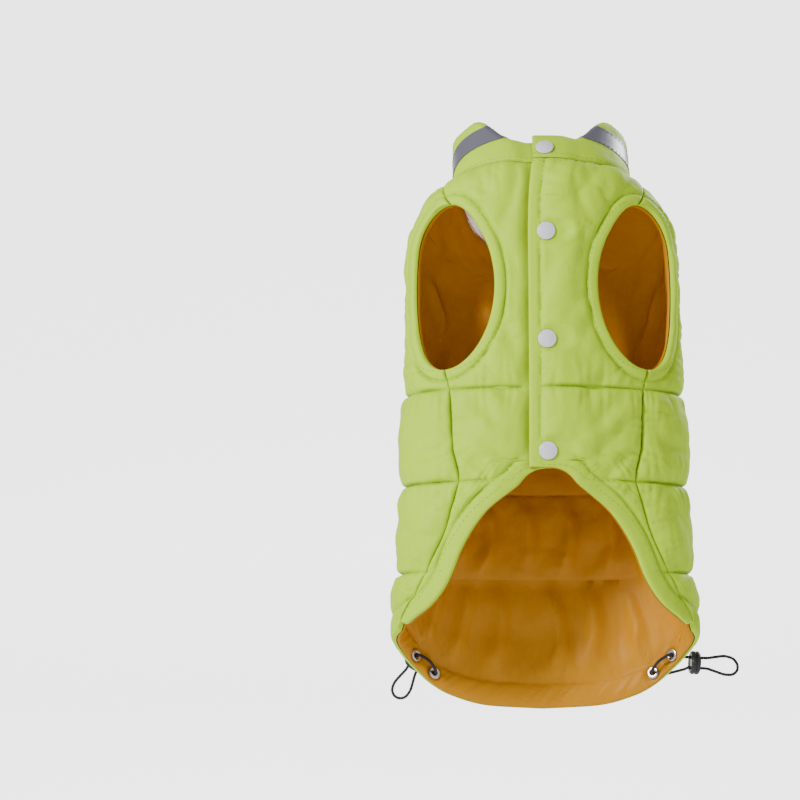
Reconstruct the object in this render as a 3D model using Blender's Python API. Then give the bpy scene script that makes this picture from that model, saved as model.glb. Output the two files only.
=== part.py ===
"""Padded dog jacket, filled out with no wearer, neck up and belly side towards -Y.

Sizes are in millimetres and become metres where a mesh is made. Height 0 is the back of the neck
seam, and the origin is on the middle axis of the trunk there. "turn" is the angle round the trunk
in degrees: 0 is the middle of the belly, 90 the wearer's side at +X, 180 the middle of the back.
"""

from collections import namedtuple

import bmesh
import bpy
import numpy as np
from mathutils import Matrix, Vector

MM = 0.001
GAP = 0.3  # between pieces that touch or are sewn together
SEAM_GAP_TURN = 0.22  # the same on each side of a lengthways seam, as a turn in degrees
SEAM_RISE = 0.6  # from the neck seam to the collar's lower edge

# ---------------------------------------------------------------- driving sizes

LINE_1, LINE_2, LINE_3 = -106.0, -170.0, -231.0  # heights of the quilting lines
ARCH_TOP = -161.5  # top of the belly's cut-out
CORNER = -270.0  # where side seam, arch edge and hem meet
CASING = 17.0  # width of the drawcord's channel along the hem
SHOULDER_RISE = 50.0  # from the straight trunk up to the neck seam

NECK_HALF_WIDTH, NECK_FRONT, NECK_BACK = 57.0, 36.0, 40.0
COLLAR_LEAN = np.radians(35.0)  # the collar's axis leans towards the back
STRIP_LOW, STRIP_HIGH = 48.0, 66.0  # reflective strip, measured along the collar's axis

ARMHOLE_TURN, ARMHOLE_HEIGHT = 48.8, -34.0  # middle of the armhole
ARMHOLE_HALF_TURN, ARMHOLE_HALF_HEIGHT = 25.9, 58.0
SHOULDER_SEAM_TURN = 80.0  # where the shoulder seam meets the neck seam

LINING = 1.4
SHELL_INSIDE = 2.2  # the shell's plain inner face, above the lining's inner face
SHELL_EDGE = 4.0  # outer face where the shell is stitched flat
BACK_PUFF, FRONT_PUFF, SHOULDER_PUFF, CASING_PUFF = 5.0, 3.2, 3.6, 1.4
COLLAR_LINING, COLLAR_INSIDE, COLLAR_EDGE, COLLAR_PUFF = 1.2, 2.1, 4.3, 1.5
STRIP_LIFT, STRIP_THICK = 0.8, 0.6

OVER_EDGE_TURN, UNDER_EDGE_TURN = -7.7, 6.5  # ends of the two fronts, which overlap
OVERLAP_SHIFT = 2.4  # the upper front is this much out and the lower one this much in
OVERLAP_START, OVERLAP_FULL = 24.0, 10.5
PLACKET_FLAT_TURN = 10.0

SNAP_RADIUS, SNAP_HEIGHTS = 6.3, (2.0, -73.5, -150.5)
COLLAR_SNAP_RISE = 9.0
LABEL_WIDTH, LABEL_HEIGHT, LABEL_THICK, LABEL_SINK = 51.0, 21.0, 0.7, 0.8
LABEL_SIDE, LABEL_MIDDLE = -5.6, -267.5

CORD_RADIUS = 1.05
EYELET_BORE, EYELET_BARREL, EYELET_HOLE, EYELET_FLANGE, EYELET_THICK = 1.5, 2.6, 2.9, 4.4, 0.7
EYELET_SEAT, EYELET_INNER_SEAT = 0.6, 0.9
LOCK_RADIUS, LOCK_THICK, LOCK_HOLE, LOCK_HOLE_APART = 8.0, 6.6, 1.5, 3.6

Section = namedtuple("Section", "height half_width front_depth back_depth")
TRUNK = (
    Section(-325, 93.0, 40.0, 39.0),
    Section(-305, 98.0, 42.0, 42.0),
    Section(-283, 101.0, 44.0, 46.0),
    Section(-266, 100.8, 45.0, 48.0),
    Section(-241, 97.0, 46.0, 49.0),
    Section(-207, 93.5, 46.0, 49.0),
    Section(-156, 92.4, 46.0, 48.0),
    Section(-106, 90.7, 46.0, 47.0),
    Section(-90, 90.3, 46.0, 46.0),
    Section(-50, 90.0, 45.5, 44.0),
    Section(3, 90.0, 43.0, 40.0),
)
EdgePoint = namedtuple("EdgePoint", "turn height")
LOWER_EDGE = (  # the arch over the belly runs on into the hem of the back
    EdgePoint(0, ARCH_TOP), EdgePoint(5, ARCH_TOP - 1.5), EdgePoint(13, -174), EdgePoint(27, -192),
    EdgePoint(37.6, -216), EdgePoint(42.8, -236), EdgePoint(51, -253), EdgePoint(63, -263),
    EdgePoint(75, CORNER), EdgePoint(92, -276), EdgePoint(104, -282), EdgePoint(112, -288),
    EdgePoint(120.5, -296), EdgePoint(128, -304), EdgePoint(138, -311.5), EdgePoint(157, -319),
    EdgePoint(180, -321),
)
SIDE_SEAM = (
    EdgePoint(75, CORNER), EdgePoint(68, -256), EdgePoint(59, -235), EdgePoint(53, -221),
    EdgePoint(47, -204), EdgePoint(41.5, -180), EdgePoint(39.5, -167), EdgePoint(43, -146),
    EdgePoint(45, -112), EdgePoint(48.8, -92),
)
NeckPoint = namedtuple("NeckPoint", "turn height")
NECK_SEAM = (
    NeckPoint(-20, 52.6), NeckPoint(0, 53), NeckPoint(30, 51.6), NeckPoint(60, 47.8),
    NeckPoint(80, 43.2), NeckPoint(95, 37), NeckPoint(110, 28.2), NeckPoint(130, 14.5),
    NeckPoint(150, 5), NeckPoint(165, 1.2), NeckPoint(180, 0),
)
BandPoint = namedtuple("BandPoint", "turn fold edge")
COLLAR_BAND = (  # folded inwards over the chest, standing at the sides and the back
    BandPoint(0, 40.5, 82), BandPoint(20, 41.5, 82), BandPoint(28, 48, 81), BandPoint(36, 58.5, 80),
    BandPoint(44, 69, 78.5), BandPoint(52, 75, 77.5), BandPoint(60, 77.5, 77.5),
    BandPoint(72, 79, 79), BandPoint(88, 82.5, 82.5), BandPoint(105, 81.5, 81.5),
    BandPoint(128, 76, 76), BandPoint(150, 75.5, 75.5), BandPoint(180, 79, 79),
)
FOLD_PIVOT, FOLD_RADIUS, OVER_FOLD_DEEPER = -1.4, 4.2, 2.4

BACK_COLUMNS, FRONT_COLUMNS = 24, 9
PanelRow = namedtuple("PanelRow", "seam arch")  # heights of a row at the side seam and the arch
PANEL_ROWS = (
    PanelRow(CORNER, CORNER), PanelRow(-262, -264), PanelRow(-252, -256), PanelRow(-241.5, -246),
    PanelRow(LINE_3, -234), PanelRow(-221, -220), PanelRow(-208, -204), PanelRow(-195, -190),
    PanelRow(-182, -177), PanelRow(LINE_2, -168.5), PanelRow(-160, -163.8),
    PanelRow(-146, ARCH_TOP), PanelRow(-132, -147), PanelRow(-119, -130), PanelRow(LINE_1, LINE_1),
    PanelRow(-98.5, -98.5),
)
ARMHOLE_ROWS = (-90, -66, -43, -21, 0, 21, 43, 66, 90)
SHOULDER_SEAM_ROWS = (0.35, 0.7, 1.0)
COLLAR_TURNS = (14, 21, 27, 33, 39, 46, 55, 67, 80, 93, 108, 125, 143, 162)
SIDES = {"left": -1, "right": 1}


def through(points):
    """A smooth curve through a table's points that never overshoots, from its first column."""
    x = np.array([p[0] for p in points], float)
    y = np.array([p[1] for p in points], float)
    if x[0] > x[-1]:
        x, y = x[::-1], y[::-1]
    step, rise = np.diff(x), np.diff(y) / np.diff(x)
    slope = np.concatenate([[rise[0]], np.zeros(len(x) - 2), [rise[-1]]])
    same = rise[:-1] * rise[1:] > 0
    near, far = 2 * step[1:] + step[:-1], step[1:] + 2 * step[:-1]
    slope[1:-1][same] = ((near + far)[same]
                         / (near[same] / rise[:-1][same] + far[same] / rise[1:][same]))

    def at(value):
        value = np.clip(value, x[0], x[-1])
        k = np.clip(np.searchsorted(x, value) - 1, 0, len(step) - 1)
        t = (value - x[k]) / step[k]
        return ((1 + 2 * t) * (1 - t) ** 2 * y[k] + t * (1 - t) ** 2 * step[k] * slope[k]
                + t * t * (3 - 2 * t) * y[k + 1] + t * t * (t - 1) * step[k] * slope[k + 1])

    return at


half_width = through([(s.height, s.half_width) for s in TRUNK])
front_depth = through([(s.height, s.front_depth) for s in TRUNK])
back_depth = through([(s.height, s.back_depth) for s in TRUNK])
edge_height = through(LOWER_EDGE)
edge_turn = through([(p.height, p.turn) for p in LOWER_EDGE if p.turn <= 75])
seam_turn = through([(p.height, p.turn) for p in SIDE_SEAM])
neck_seam = through(NECK_SEAM)
fold_level = through([(p.turn, p.fold) for p in COLLAR_BAND])
band_edge = through([(p.turn, p.edge) for p in COLLAR_BAND])


def ramp(value, start, end):
    t = np.clip((value - start) / (end - start), 0, 1)
    return t * t * (3 - 2 * t)


def folded_turn(turn):
    """The turn counted both ways from the belly, 0 to 180."""
    return np.degrees(np.arccos(np.clip(np.cos(np.radians(turn)), -1, 1)))


def unit(v):
    return v / np.maximum(np.linalg.norm(v, axis=-1, keepdims=True), 1e-9)


# ---------------------------------------------------------------- the trunk's form

def neck_height(turn):
    return neck_seam(folded_turn(turn))


def neck_ring(turn):
    s, c = np.sin(np.radians(turn)), np.cos(np.radians(turn))
    deep = np.where(c > 0, NECK_FRONT, NECK_BACK)
    return np.stack([NECK_HALF_WIDTH * s, -deep * c, neck_height(turn)], -1)


def shoulder_share(rise):
    """How much of the trunk's width is left at this share of the shoulder's rise."""
    power, reach = 1.9, 0.96
    left = (1 - (reach * rise) ** power) ** (1 / power)
    least = (1 - reach**power) ** (1 / power)
    return (left - least) / (1 - least)


def form(turn, height):
    turn, height = np.broadcast_arrays(np.asarray(turn, float), np.asarray(height, float))
    s, c = np.sin(np.radians(turn)), np.cos(np.radians(turn))
    start = neck_height(turn) - SHOULDER_RISE
    low = np.minimum(height, start)
    deep = np.where(c > 0, front_depth(low), back_depth(low))
    trunk = np.stack([half_width(low) * s, -deep * c], -1)
    neck = neck_ring(turn)[..., :2]
    share = shoulder_share(np.clip((height - start) / SHOULDER_RISE, 0, 1))[..., None]
    return np.concatenate([neck + (trunk - neck) * share, height[..., None]], -1)


COLLAR_AXIS = np.array([0.0, np.sin(COLLAR_LEAN), np.cos(COLLAR_LEAN)])


def collar_outward(turn):
    s, c = np.sin(np.radians(turn)), np.cos(np.radians(turn))
    deep = np.where(c > 0, NECK_FRONT, NECK_BACK)
    out = np.stack([s / NECK_HALF_WIDTH, -c / deep, 0 * s], -1)
    out = out - (out @ COLLAR_AXIS)[..., None] * COLLAR_AXIS
    return unit(out)


def form_outward(turn, height):
    """The outward direction, turned at the neck seam to share the collar's."""
    turn, height = np.broadcast_arrays(np.asarray(turn, float), np.asarray(height, float))
    top = neck_height(turn)
    low, high = np.minimum(height - 0.5, top - 1.0), np.minimum(height + 0.5, top)
    along = form(turn + 0.5, np.minimum(height, top - 1)) - form(turn - 0.5,
                                                                 np.minimum(height, top - 1))
    out = unit(np.cross(along, form(turn, high) - form(turn, low)))
    seam = unit(out + collar_outward(turn))
    near = ramp(height, top - 12.0, top - GAP)[..., None]
    return unit(out * (1 - near) + seam * near)


def on_form(turn, height, off):
    return form(turn, height) + form_outward(turn, height) * np.asarray(off)[..., None]


def overlap_share(turn, over):
    return ramp(turn if over else -turn, OVERLAP_START, OVERLAP_FULL)


def overlap_shift(turn, over):
    """The upper front rises over the lower one near the middle of the belly."""
    if over is None:
        return np.zeros_like(turn)
    return overlap_share(turn, over) * (OVERLAP_SHIFT if over else -OVERLAP_SHIFT)


# ---------------------------------------------------------------- the collar's form

def seam_level(turn):
    return neck_ring(turn) @ COLLAR_AXIS


def collar_shift(turn):
    """The collar's two ends overlap as the fronts do. Turns past 180 are the lower end's."""
    lower = turn > 180
    share = np.where(lower, overlap_share(360 - turn, True), overlap_share(turn, True))
    return share * np.where(lower, -OVERLAP_SHIFT, OVERLAP_SHIFT), share


def collar_form(turn, level, off):
    """A point of the collar's band: level is measured along the collar's axis, off outwards.

    Past the fold line the band rolls inwards round a pivot and hangs down inside the neck.
    """
    turn, level, off = np.broadcast_arrays(*(np.asarray(v, float) for v in (turn, level, off)))
    shift, share = collar_shift(turn)
    up = np.maximum(level - seam_level(turn), 0)
    fold = fold_level(folded_turn(turn)) - seam_level(turn)
    past = np.maximum(up - fold, 0)
    angle = np.minimum(past / FOLD_RADIUS, np.pi)
    hang = np.maximum(past - np.pi * FOLD_RADIUS, 0)
    pivot = FOLD_PIVOT - (OVERLAP_SHIFT + np.where(shift > 0, OVER_FOLD_DEEPER, 0)) * share
    reach = off + shift - pivot
    side = pivot + reach * np.cos(angle)
    rise = np.minimum(up, fold) + reach * np.sin(angle) - hang
    low = np.minimum(rise, 0) * 0.92
    top = neck_height(turn)
    near = ramp(rise, 12.0, 0.0)[..., None]
    below = form_outward(turn, top + low - GAP)
    outward = unit(collar_outward(turn) * (1 - near) + below * near)
    base = form(turn, top + low)
    return base + COLLAR_AXIS * np.maximum(rise, 0)[..., None] + outward * side[..., None]


# ---------------------------------------------------------------- panel outlines and puff

def armhole(angle, sign):
    """A point of the armhole's edge: sign -1 on the front panel's side, +1 on the back's."""
    a = np.radians(angle)
    return (ARMHOLE_TURN + sign * ARMHOLE_HALF_TURN * np.cos(a),
            ARMHOLE_HEIGHT + ARMHOLE_HALF_HEIGHT * np.sin(a))


def side_boundary(sign):
    """Side seam, armhole edge and shoulder seam, from the hem's corner to the neck."""
    points = [(float(seam_turn(row.seam)), row.seam) for row in PANEL_ROWS]
    points += [armhole(a, sign) for a in ARMHOLE_ROWS]
    turn, height = armhole(90, sign)
    for share in SHOULDER_SEAM_ROWS:
        at = turn + (SHOULDER_SEAM_TURN - turn) * share
        gap = GAP / 2 * (1 - share) * -sign
        points.append((at, height + gap + (neck_height(at) - GAP - height) * share))
    return np.array(points)


def back_levels(turn):
    """Heights of hem, casing stitch, quilting lines and neck seam at this turn."""
    edge = edge_height(folded_turn(turn))
    flat = np.ones_like(edge)
    return np.stack([edge, edge + CASING, LINE_3 * flat, LINE_2 * flat, LINE_1 * flat,
                     neck_height(turn) - GAP], -1)


def mixed(levels, share):
    k = np.clip(np.floor(share).astype(int), 0, levels.shape[-1] - 2)
    low = np.take_along_axis(levels, k[..., None], -1)[..., 0]
    high = np.take_along_axis(levels, k[..., None] + 1, -1)[..., 0]
    return low + (high - low) * (share - k)


def column_spread(count):
    """From -1 to 1, closer together near the ends, where the trunk turns tightest."""
    t = np.linspace(-1, 1, count + 1)
    return t * (1.22 - 0.22 * t * t)


def back_grid():
    side = side_boundary(+1)
    turns = side[:, 0] + SEAM_GAP_TURN
    share = np.array([np.interp(h, back_levels(np.array(t)), range(6)) for t, h in side])
    across = 180 + (180 - turns)[:, None] * column_spread(BACK_COLUMNS)[None, :]
    return across, mixed(back_levels(across), np.broadcast_to(share[:, None], across.shape))


def front_grid(sign):
    """The front on the +X side is the upper one; turns are negative on the other side."""
    side = side_boundary(-1)
    edge = OVER_EDGE_TURN if sign > 0 else -UNDER_EDGE_TURN
    arch = np.array([row.arch for row in PANEL_ROWS])
    low = np.concatenate([arch, side[len(arch):, 1]])
    inner = np.where(low > ARCH_TOP - 0.1, edge, edge_turn(low))
    share = np.linspace(0, 1, FRONT_COLUMNS + 1)
    turns = inner[:, None] + (side[:, 0] - SEAM_GAP_TURN - inner)[:, None] * share[None, :]
    mix = np.maximum(side[:, 1] - LINE_1, 0) / (neck_height(side[:, 0]) - GAP - LINE_1)
    top = neck_height(turns) - GAP
    flat = low[:, None] + (side[:, 1] - low)[:, None] * share[None, :]
    heights = np.where(mix[:, None] > 0, LINE_1 + (top - LINE_1) * mix[:, None], flat)
    return turns[1:] * sign, heights[1:]


def border(grid):
    return np.concatenate([grid[0], grid[-1], grid[:, 0], grid[:, -1]])


def pillow(distance, reach):
    t = np.clip(distance / reach, 0, 1)
    return np.sqrt(np.clip(1 - (1 - t) ** 2, 0, 1))


def to_border(points, grid):
    edge = border(grid)
    between = np.concatenate([edge, (edge[1:] + edge[:-1]) / 2])
    return np.linalg.norm(points[..., None, :] - between, axis=-1).min(-1)


def puff(turns, heights, grid, back):
    """How far padding lifts the shell: nothing at seams and quilting lines, most between."""
    at = form(turns, heights)
    most = np.where(heights > LINE_1, SHOULDER_PUFF, BACK_PUFF if back else FRONT_PUFF)
    lift = most * pillow(to_border(at, grid), 22.0)
    for line in (LINE_1, LINE_2, LINE_3):
        lift = lift * pillow(np.abs(heights - line), 20.0)
    if back:
        above = heights - edge_height(folded_turn(turns)) - CASING
        lift = np.where(above > 0, lift * pillow(above, 20.0),
                        CASING_PUFF * pillow(-above, 6.0) * pillow(above + CASING, 6.0))
    else:
        lift = lift * ramp(np.abs(turns), PLACKET_FLAT_TURN, PLACKET_FLAT_TURN + 9)
    return lift


# ---------------------------------------------------------------- meshes and materials

def material(name, colour, roughness, metallic=0.0):
    made = bpy.data.materials.new(name)
    made.use_nodes = True
    shader = made.node_tree.nodes["Principled BSDF"]
    shader.inputs["Base Color"].default_value = (*colour, 1)
    shader.inputs["Roughness"].default_value = roughness
    shader.inputs["Metallic"].default_value = metallic
    made.diffuse_color = (*colour, 1)
    return made


def solid(name, points, faces, finish, smooth=True):
    mesh = bpy.data.meshes.new(name)
    mesh.from_pydata([tuple(p * MM) for p in np.asarray(points)], [], faces)
    work = bmesh.new()
    work.from_mesh(mesh)
    bmesh.ops.remove_doubles(work, verts=work.verts, dist=1e-6)
    bmesh.ops.recalc_face_normals(work, faces=work.faces)
    work.to_mesh(mesh)
    work.free()
    if smooth:
        mesh.shade_smooth()
        mesh.set_sharp_from_angle(angle=np.radians(50))
    obj = bpy.data.objects.new(name, mesh)
    bpy.context.scene.collection.objects.link(obj)
    mesh.materials.append(finish)
    return obj


def wall(name, outside, inside, finish, mirrored=False):
    """A wall between two grids of the same size. Mirrored, its halves' diagonals match."""
    rows, columns = outside.shape[:2]
    points = np.concatenate([outside.reshape(-1, 3), inside.reshape(-1, 3)])
    half = rows * columns
    faces = []
    for r in range(rows - 1):
        for k in range(columns - 1):
            a, b = r * columns + k, r * columns + k + 1
            c, d = b + columns, a + columns
            if mirrored and k >= (columns - 1) // 2:
                a, b, c, d = b, c, d, a
            faces += [(a, b, c), (a, c, d)]
            faces += [(half + b, half + a, half + c), (half + a, half + d, half + c)]
    for r in (0, rows - 1):
        for k in range(columns - 1):
            a, b = r * columns + k, r * columns + k + 1
            faces.append((a, b, half + b, half + a) if r else (b, a, half + a, half + b))
    for k in (0, columns - 1):
        for r in range(rows - 1):
            a, b = r * columns + k, (r + 1) * columns + k
            faces.append((b, a, half + a, half + b) if k else (a, b, half + b, half + a))
    return solid(name, points, faces, finish)


def turned(name, profile, segments, place, finish, ring=False):
    """A profile of (radius, height) turned about its axis; a ring's profile is a closed loop."""
    points, faces = [], []
    for radius, height in profile:
        for k in range(segments):
            a = 2 * np.pi * k / segments
            points.append(place @ Vector((radius * np.cos(a), radius * np.sin(a), height)))
    count = len(profile)
    for r in range(count if ring else count - 1):
        for k in range(segments):
            a, b = r * segments + k, r * segments + (k + 1) % segments
            c, d = ((r + 1) % count) * segments + (k + 1) % segments, \
                ((r + 1) % count) * segments + k
            faces.append((a, b, c, d))
    if not ring:
        faces.append(tuple(range(segments)))
        faces.append(tuple((count - 1) * segments + k for k in range(segments)))
    return solid(name, [np.array(p) for p in points], faces, finish)


def frame_at(point, outward):
    turn = Vector(outward).to_track_quat("Z", "Y").to_matrix().to_4x4()
    return Matrix.Translation(Vector(point)) @ turn


# ---------------------------------------------------------------- body panels

def shell(name, turns, heights, over, back, finish):
    shift = overlap_shift(turns, over)
    grid = form(turns, heights)
    lift = puff(turns, heights, grid, back)
    outside = on_form(turns, heights, SHELL_EDGE + shift + lift)
    inside = on_form(turns, heights, SHELL_INSIDE + shift)
    return wall(name, outside, inside, finish, back)


def lining(name, turns, heights, over, finish):
    rows = lining_rows(len(turns))
    turns, heights = turns[rows], heights[rows]
    shift = overlap_shift(turns, over)
    return wall(name, on_form(turns, heights, LINING + shift),
                on_form(turns, heights, shift), finish, over is None)


def lining_rows(count):
    """Every second row below the armhole and every row beside and above it."""
    upper = len(ARMHOLE_ROWS) + len(SHOULDER_SEAM_ROWS)
    low = count - upper
    return sorted({0, 1} | set(range(low % 2, low, 2)) | set(range(low, count)))


def shell_lift_at(turn, height):
    """The back shell's outer offset at one place."""
    turns, heights = back_grid()
    lift = puff(np.array([turn]), np.array([height]), form(turns, heights), True)
    return SHELL_EDGE + float(lift[0])


# ---------------------------------------------------------------- collar

def collar_turns():
    """Round the neck from the upper end, past the back, to the lower end."""
    half = np.array(COLLAR_TURNS, float)
    return np.concatenate([[OVER_EDGE_TURN, 2.0], half, [180], 360 - half[::-1],
                           [358.0, 360 + UNDER_EDGE_TURN]])


COLLAR_SHARES = (4, 5, 3)  # rows from the seam to the strip, over the strip, and to the edge


def collar_levels(turn):
    """Levels of the collar's rows at these turns, from the seam up to the free edge."""
    stops = (seam_level(turn) + SEAM_RISE, STRIP_LOW, STRIP_HIGH, band_edge(folded_turn(turn)))
    rows = [stops[0] + 0 * turn]
    for low, high, count in zip(stops, stops[1:], COLLAR_SHARES):
        rows += [low + (high - low) * k / count + 0 * turn for k in range(1, count + 1)]
    return np.stack(rows)


def collar_puff(turn, level):
    wrapped = np.where(turn > 180, turn - 360, turn)
    flat_end = ramp(np.abs(wrapped), PLACKET_FLAT_TURN, PLACKET_FLAT_TURN + 12)
    up = level - seam_level(turn) - SEAM_RISE
    down = band_edge(folded_turn(turn)) - level
    return COLLAR_PUFF * pillow(up, 10) * pillow(down, 8) * flat_end


def collar_shell(finish):
    level = collar_levels(collar_turns())
    turn = np.broadcast_to(collar_turns(), level.shape)
    return wall("collar", collar_form(turn, level, COLLAR_EDGE + collar_puff(turn, level)),
                collar_form(turn, level, COLLAR_INSIDE), finish, True)


def collar_lining(finish):
    level = collar_levels(collar_turns())
    turn = np.broadcast_to(collar_turns(), level.shape)
    return wall("collar_lining", collar_form(turn, level, COLLAR_LINING),
                collar_form(turn, level, 0.0), finish, True)


def collar_strip(name, inner, finish):
    """A reflective strip sewn round the band: made from the collar's own points, moved out.

    Neither strip runs on between the collar's overlapping ends.
    """
    turn = collar_turns()[2:-1] if inner else collar_turns()[1:-2]
    first = COLLAR_SHARES[0]
    level = collar_levels(turn)[first:first + COLLAR_SHARES[1] + 1]
    turn = np.broadcast_to(turn, level.shape)
    if inner:
        base, thick = -STRIP_LIFT, -STRIP_THICK
    else:
        base, thick = COLLAR_EDGE + collar_puff(turn, level) + STRIP_LIFT, STRIP_THICK
    return wall(name, collar_form(turn, level, base + thick), collar_form(turn, level, base),
                finish, True)


# ---------------------------------------------------------------- snaps, label

SNAP_PROFILE = ((0.94, 0.0), (1.0, 0.5), (0.93, 1.25), (0.7, 1.75), (0.4, 1.95))


def snap(name, point, outward, finish):
    place = frame_at(np.array(point) + np.array(outward) * GAP, outward)
    profile = [(share * SNAP_RADIUS, height) for share, height in SNAP_PROFILE]
    return turned(name, profile, 16, place, finish)


def label(finish):
    across = np.linspace(-0.5, 0.5, 7) * LABEL_WIDTH + LABEL_SIDE
    down = np.linspace(-0.5, 0.5, 4) * LABEL_HEIGHT + LABEL_MIDDLE
    side, height = np.meshgrid(across, down)
    turn = 180 - np.degrees(np.arcsin(side / half_width(height)))
    turns, heights = back_grid()
    lift = SHELL_EDGE + puff(turn, height, form(turns, heights), True) - LABEL_SINK
    return wall("label", on_form(turn, height, lift + LABEL_THICK),
                on_form(turn, height, lift), finish)


# ---------------------------------------------------------------- drawcords

Eyelet = namedtuple("Eyelet", "name turn height")
EYELETS = (Eyelet("upper", 117.5, -285.0), Eyelet("lower", 129.5, -297.0))
Lock = namedtuple("Lock", "middle axis")
LOCKS = {  # the +X lock stands out sideways, the other hangs on the back of the hem
    "right": Lock((105.5, 25.0, -290.0), (1.0, 0.10, -0.05)),
    "left": Lock((-89.0, 47.0, -288.5), (-0.45, 0.50, -0.74)),
}
# loop beyond the lock: (share along the lock's axis, share across, drop), in millimetres
LOOP = ((6.0, 1.05, 0.0), (12.0, 1.45, -0.3), (18.0, 1.8, -0.8), (23.5, 1.55, -1.2),
        (26.5, 0.8, -1.5), (27.3, 0.0, -1.6), (26.5, -0.8, -1.6), (23.5, -1.5, -1.4),
        (18.0, -1.7, -0.9), (12.0, -1.4, -0.4), (6.0, -1.05, 0.0))


def eyelet_place(sign, eyelet):
    turn = eyelet.turn * sign
    point = on_form(np.array(turn), np.array(eyelet.height), np.array(0.0))
    return point, form_outward(np.array(turn), np.array(eyelet.height))


def eyelet_solid(side, eyelet, finish):
    point, outward = eyelet_place(SIDES[side], eyelet)
    top = shell_lift_at(eyelet.turn, eyelet.height) + EYELET_SEAT
    low = -EYELET_INNER_SEAT
    profile = ((EYELET_BORE, low - EYELET_THICK), (EYELET_FLANGE, low - EYELET_THICK),
               (EYELET_FLANGE, low), (EYELET_BARREL, low), (EYELET_BARREL, top),
               (EYELET_FLANGE, top), (EYELET_FLANGE, top + EYELET_THICK),
               (EYELET_BORE, top + EYELET_THICK))
    return turned(f"eyelet_{side}_{eyelet.name}", profile, 10, frame_at(point, outward), finish,
                  ring=True)


def eyelet_cutter():
    """One helper with a pin at each eyelet, which pierces shell and lining."""
    points, faces = [], []
    for sign in SIDES.values():
        for eyelet in EYELETS:
            point, outward = eyelet_place(sign, eyelet)
            place = frame_at(point, outward)
            base = len(points)
            for height in (-4.0, 12.0):
                for k in range(12):
                    a = 2 * np.pi * (k + 0.3) / 12
                    points.append(np.array(place @ Vector(
                        (EYELET_HOLE * np.cos(a), EYELET_HOLE * np.sin(a), height))))
            for k in range(12):
                a, b = base + k, base + (k + 1) % 12
                faces.append((a, b, b + 12, a + 12))
            faces.append(tuple(base + 11 - k for k in range(12)))
            faces.append(tuple(base + 12 + k for k in range(12)))
    cutter = solid("eyelet_holes", points, faces, material("helper", (1, 1, 1), 1), False)
    cutter.hide_render = True
    cutter.display_type = "WIRE"
    return cutter


def pierce(obj, cutter):
    cut = obj.modifiers.new("eyelet_holes", "BOOLEAN")
    cut.operation = "DIFFERENCE"
    cut.solver = "EXACT"
    cut.object = cutter


def lock_frame(side):
    """Middle, axis and the direction from one cord hole to the other."""
    lock = LOCKS[side]
    axis = unit(np.array(lock.axis))
    upper, _ = eyelet_place(SIDES[side], EYELETS[0])
    lower, _ = eyelet_place(SIDES[side], EYELETS[1])
    across = np.array([0.0, 0.0, 1.0]) if side == "right" else unit(upper - lower)
    across = unit(across - (across @ axis) * axis)
    return np.array(lock.middle), axis, across


def lock_solid(side, finish):
    middle, axis, across = lock_frame(side)
    place = frame_at(middle, axis)
    half, round_off = LOCK_THICK / 2, 1.3
    profile = ((LOCK_RADIUS - round_off, -half), (LOCK_RADIUS, -half + round_off),
               (LOCK_RADIUS, half - round_off), (LOCK_RADIUS - round_off, half))
    body = turned(f"cord_lock_{side}", profile, 24, place, finish)
    points, faces = [], []
    for sign in (1, -1):
        hole = frame_at(middle + across * sign * LOCK_HOLE_APART, axis)
        base = len(points)
        for height in (-LOCK_THICK, LOCK_THICK):
            for k in range(10):
                a = 2 * np.pi * k / 10
                points.append(np.array(hole @ Vector(
                    (LOCK_HOLE * np.cos(a), LOCK_HOLE * np.sin(a), height))))
        for k in range(10):
            a, b = base + k, base + (k + 1) % 10
            faces.append((a, b, b + 10, a + 10))
        faces.append(tuple(base + 9 - k for k in range(10)))
        faces.append(tuple(base + 10 + k for k in range(10)))
    cutter = solid(f"lock_holes_{side}", points, faces, material("helper", (1, 1, 1), 1), False)
    cutter.hide_render = True
    cutter.display_type = "WIRE"
    pierce(body, cutter)
    return body


def spline(points, count):
    """Points on a smooth curve through the route's own points, evenly spaced."""
    p = np.array(points, float)
    p = np.concatenate([[2 * p[0] - p[1]], p, [2 * p[-1] - p[-2]]])
    fine = []
    for a, b, c, d in zip(p, p[1:], p[2:], p[3:]):
        for t in np.linspace(0, 1, 24, endpoint=False):
            fine.append(0.5 * (2 * b + (c - a) * t + (2 * a - 5 * b + 4 * c - d) * t * t
                               + (3 * b - a - 3 * c + d) * t**3))
    fine = np.array(fine + [p[-2]])
    run = np.concatenate([[0], np.cumsum(np.linalg.norm(np.diff(fine, axis=0), axis=1))])
    at = np.linspace(0, run[-1], count)
    return np.stack([np.interp(at, run, fine[:, k]) for k in range(3)], -1)


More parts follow.
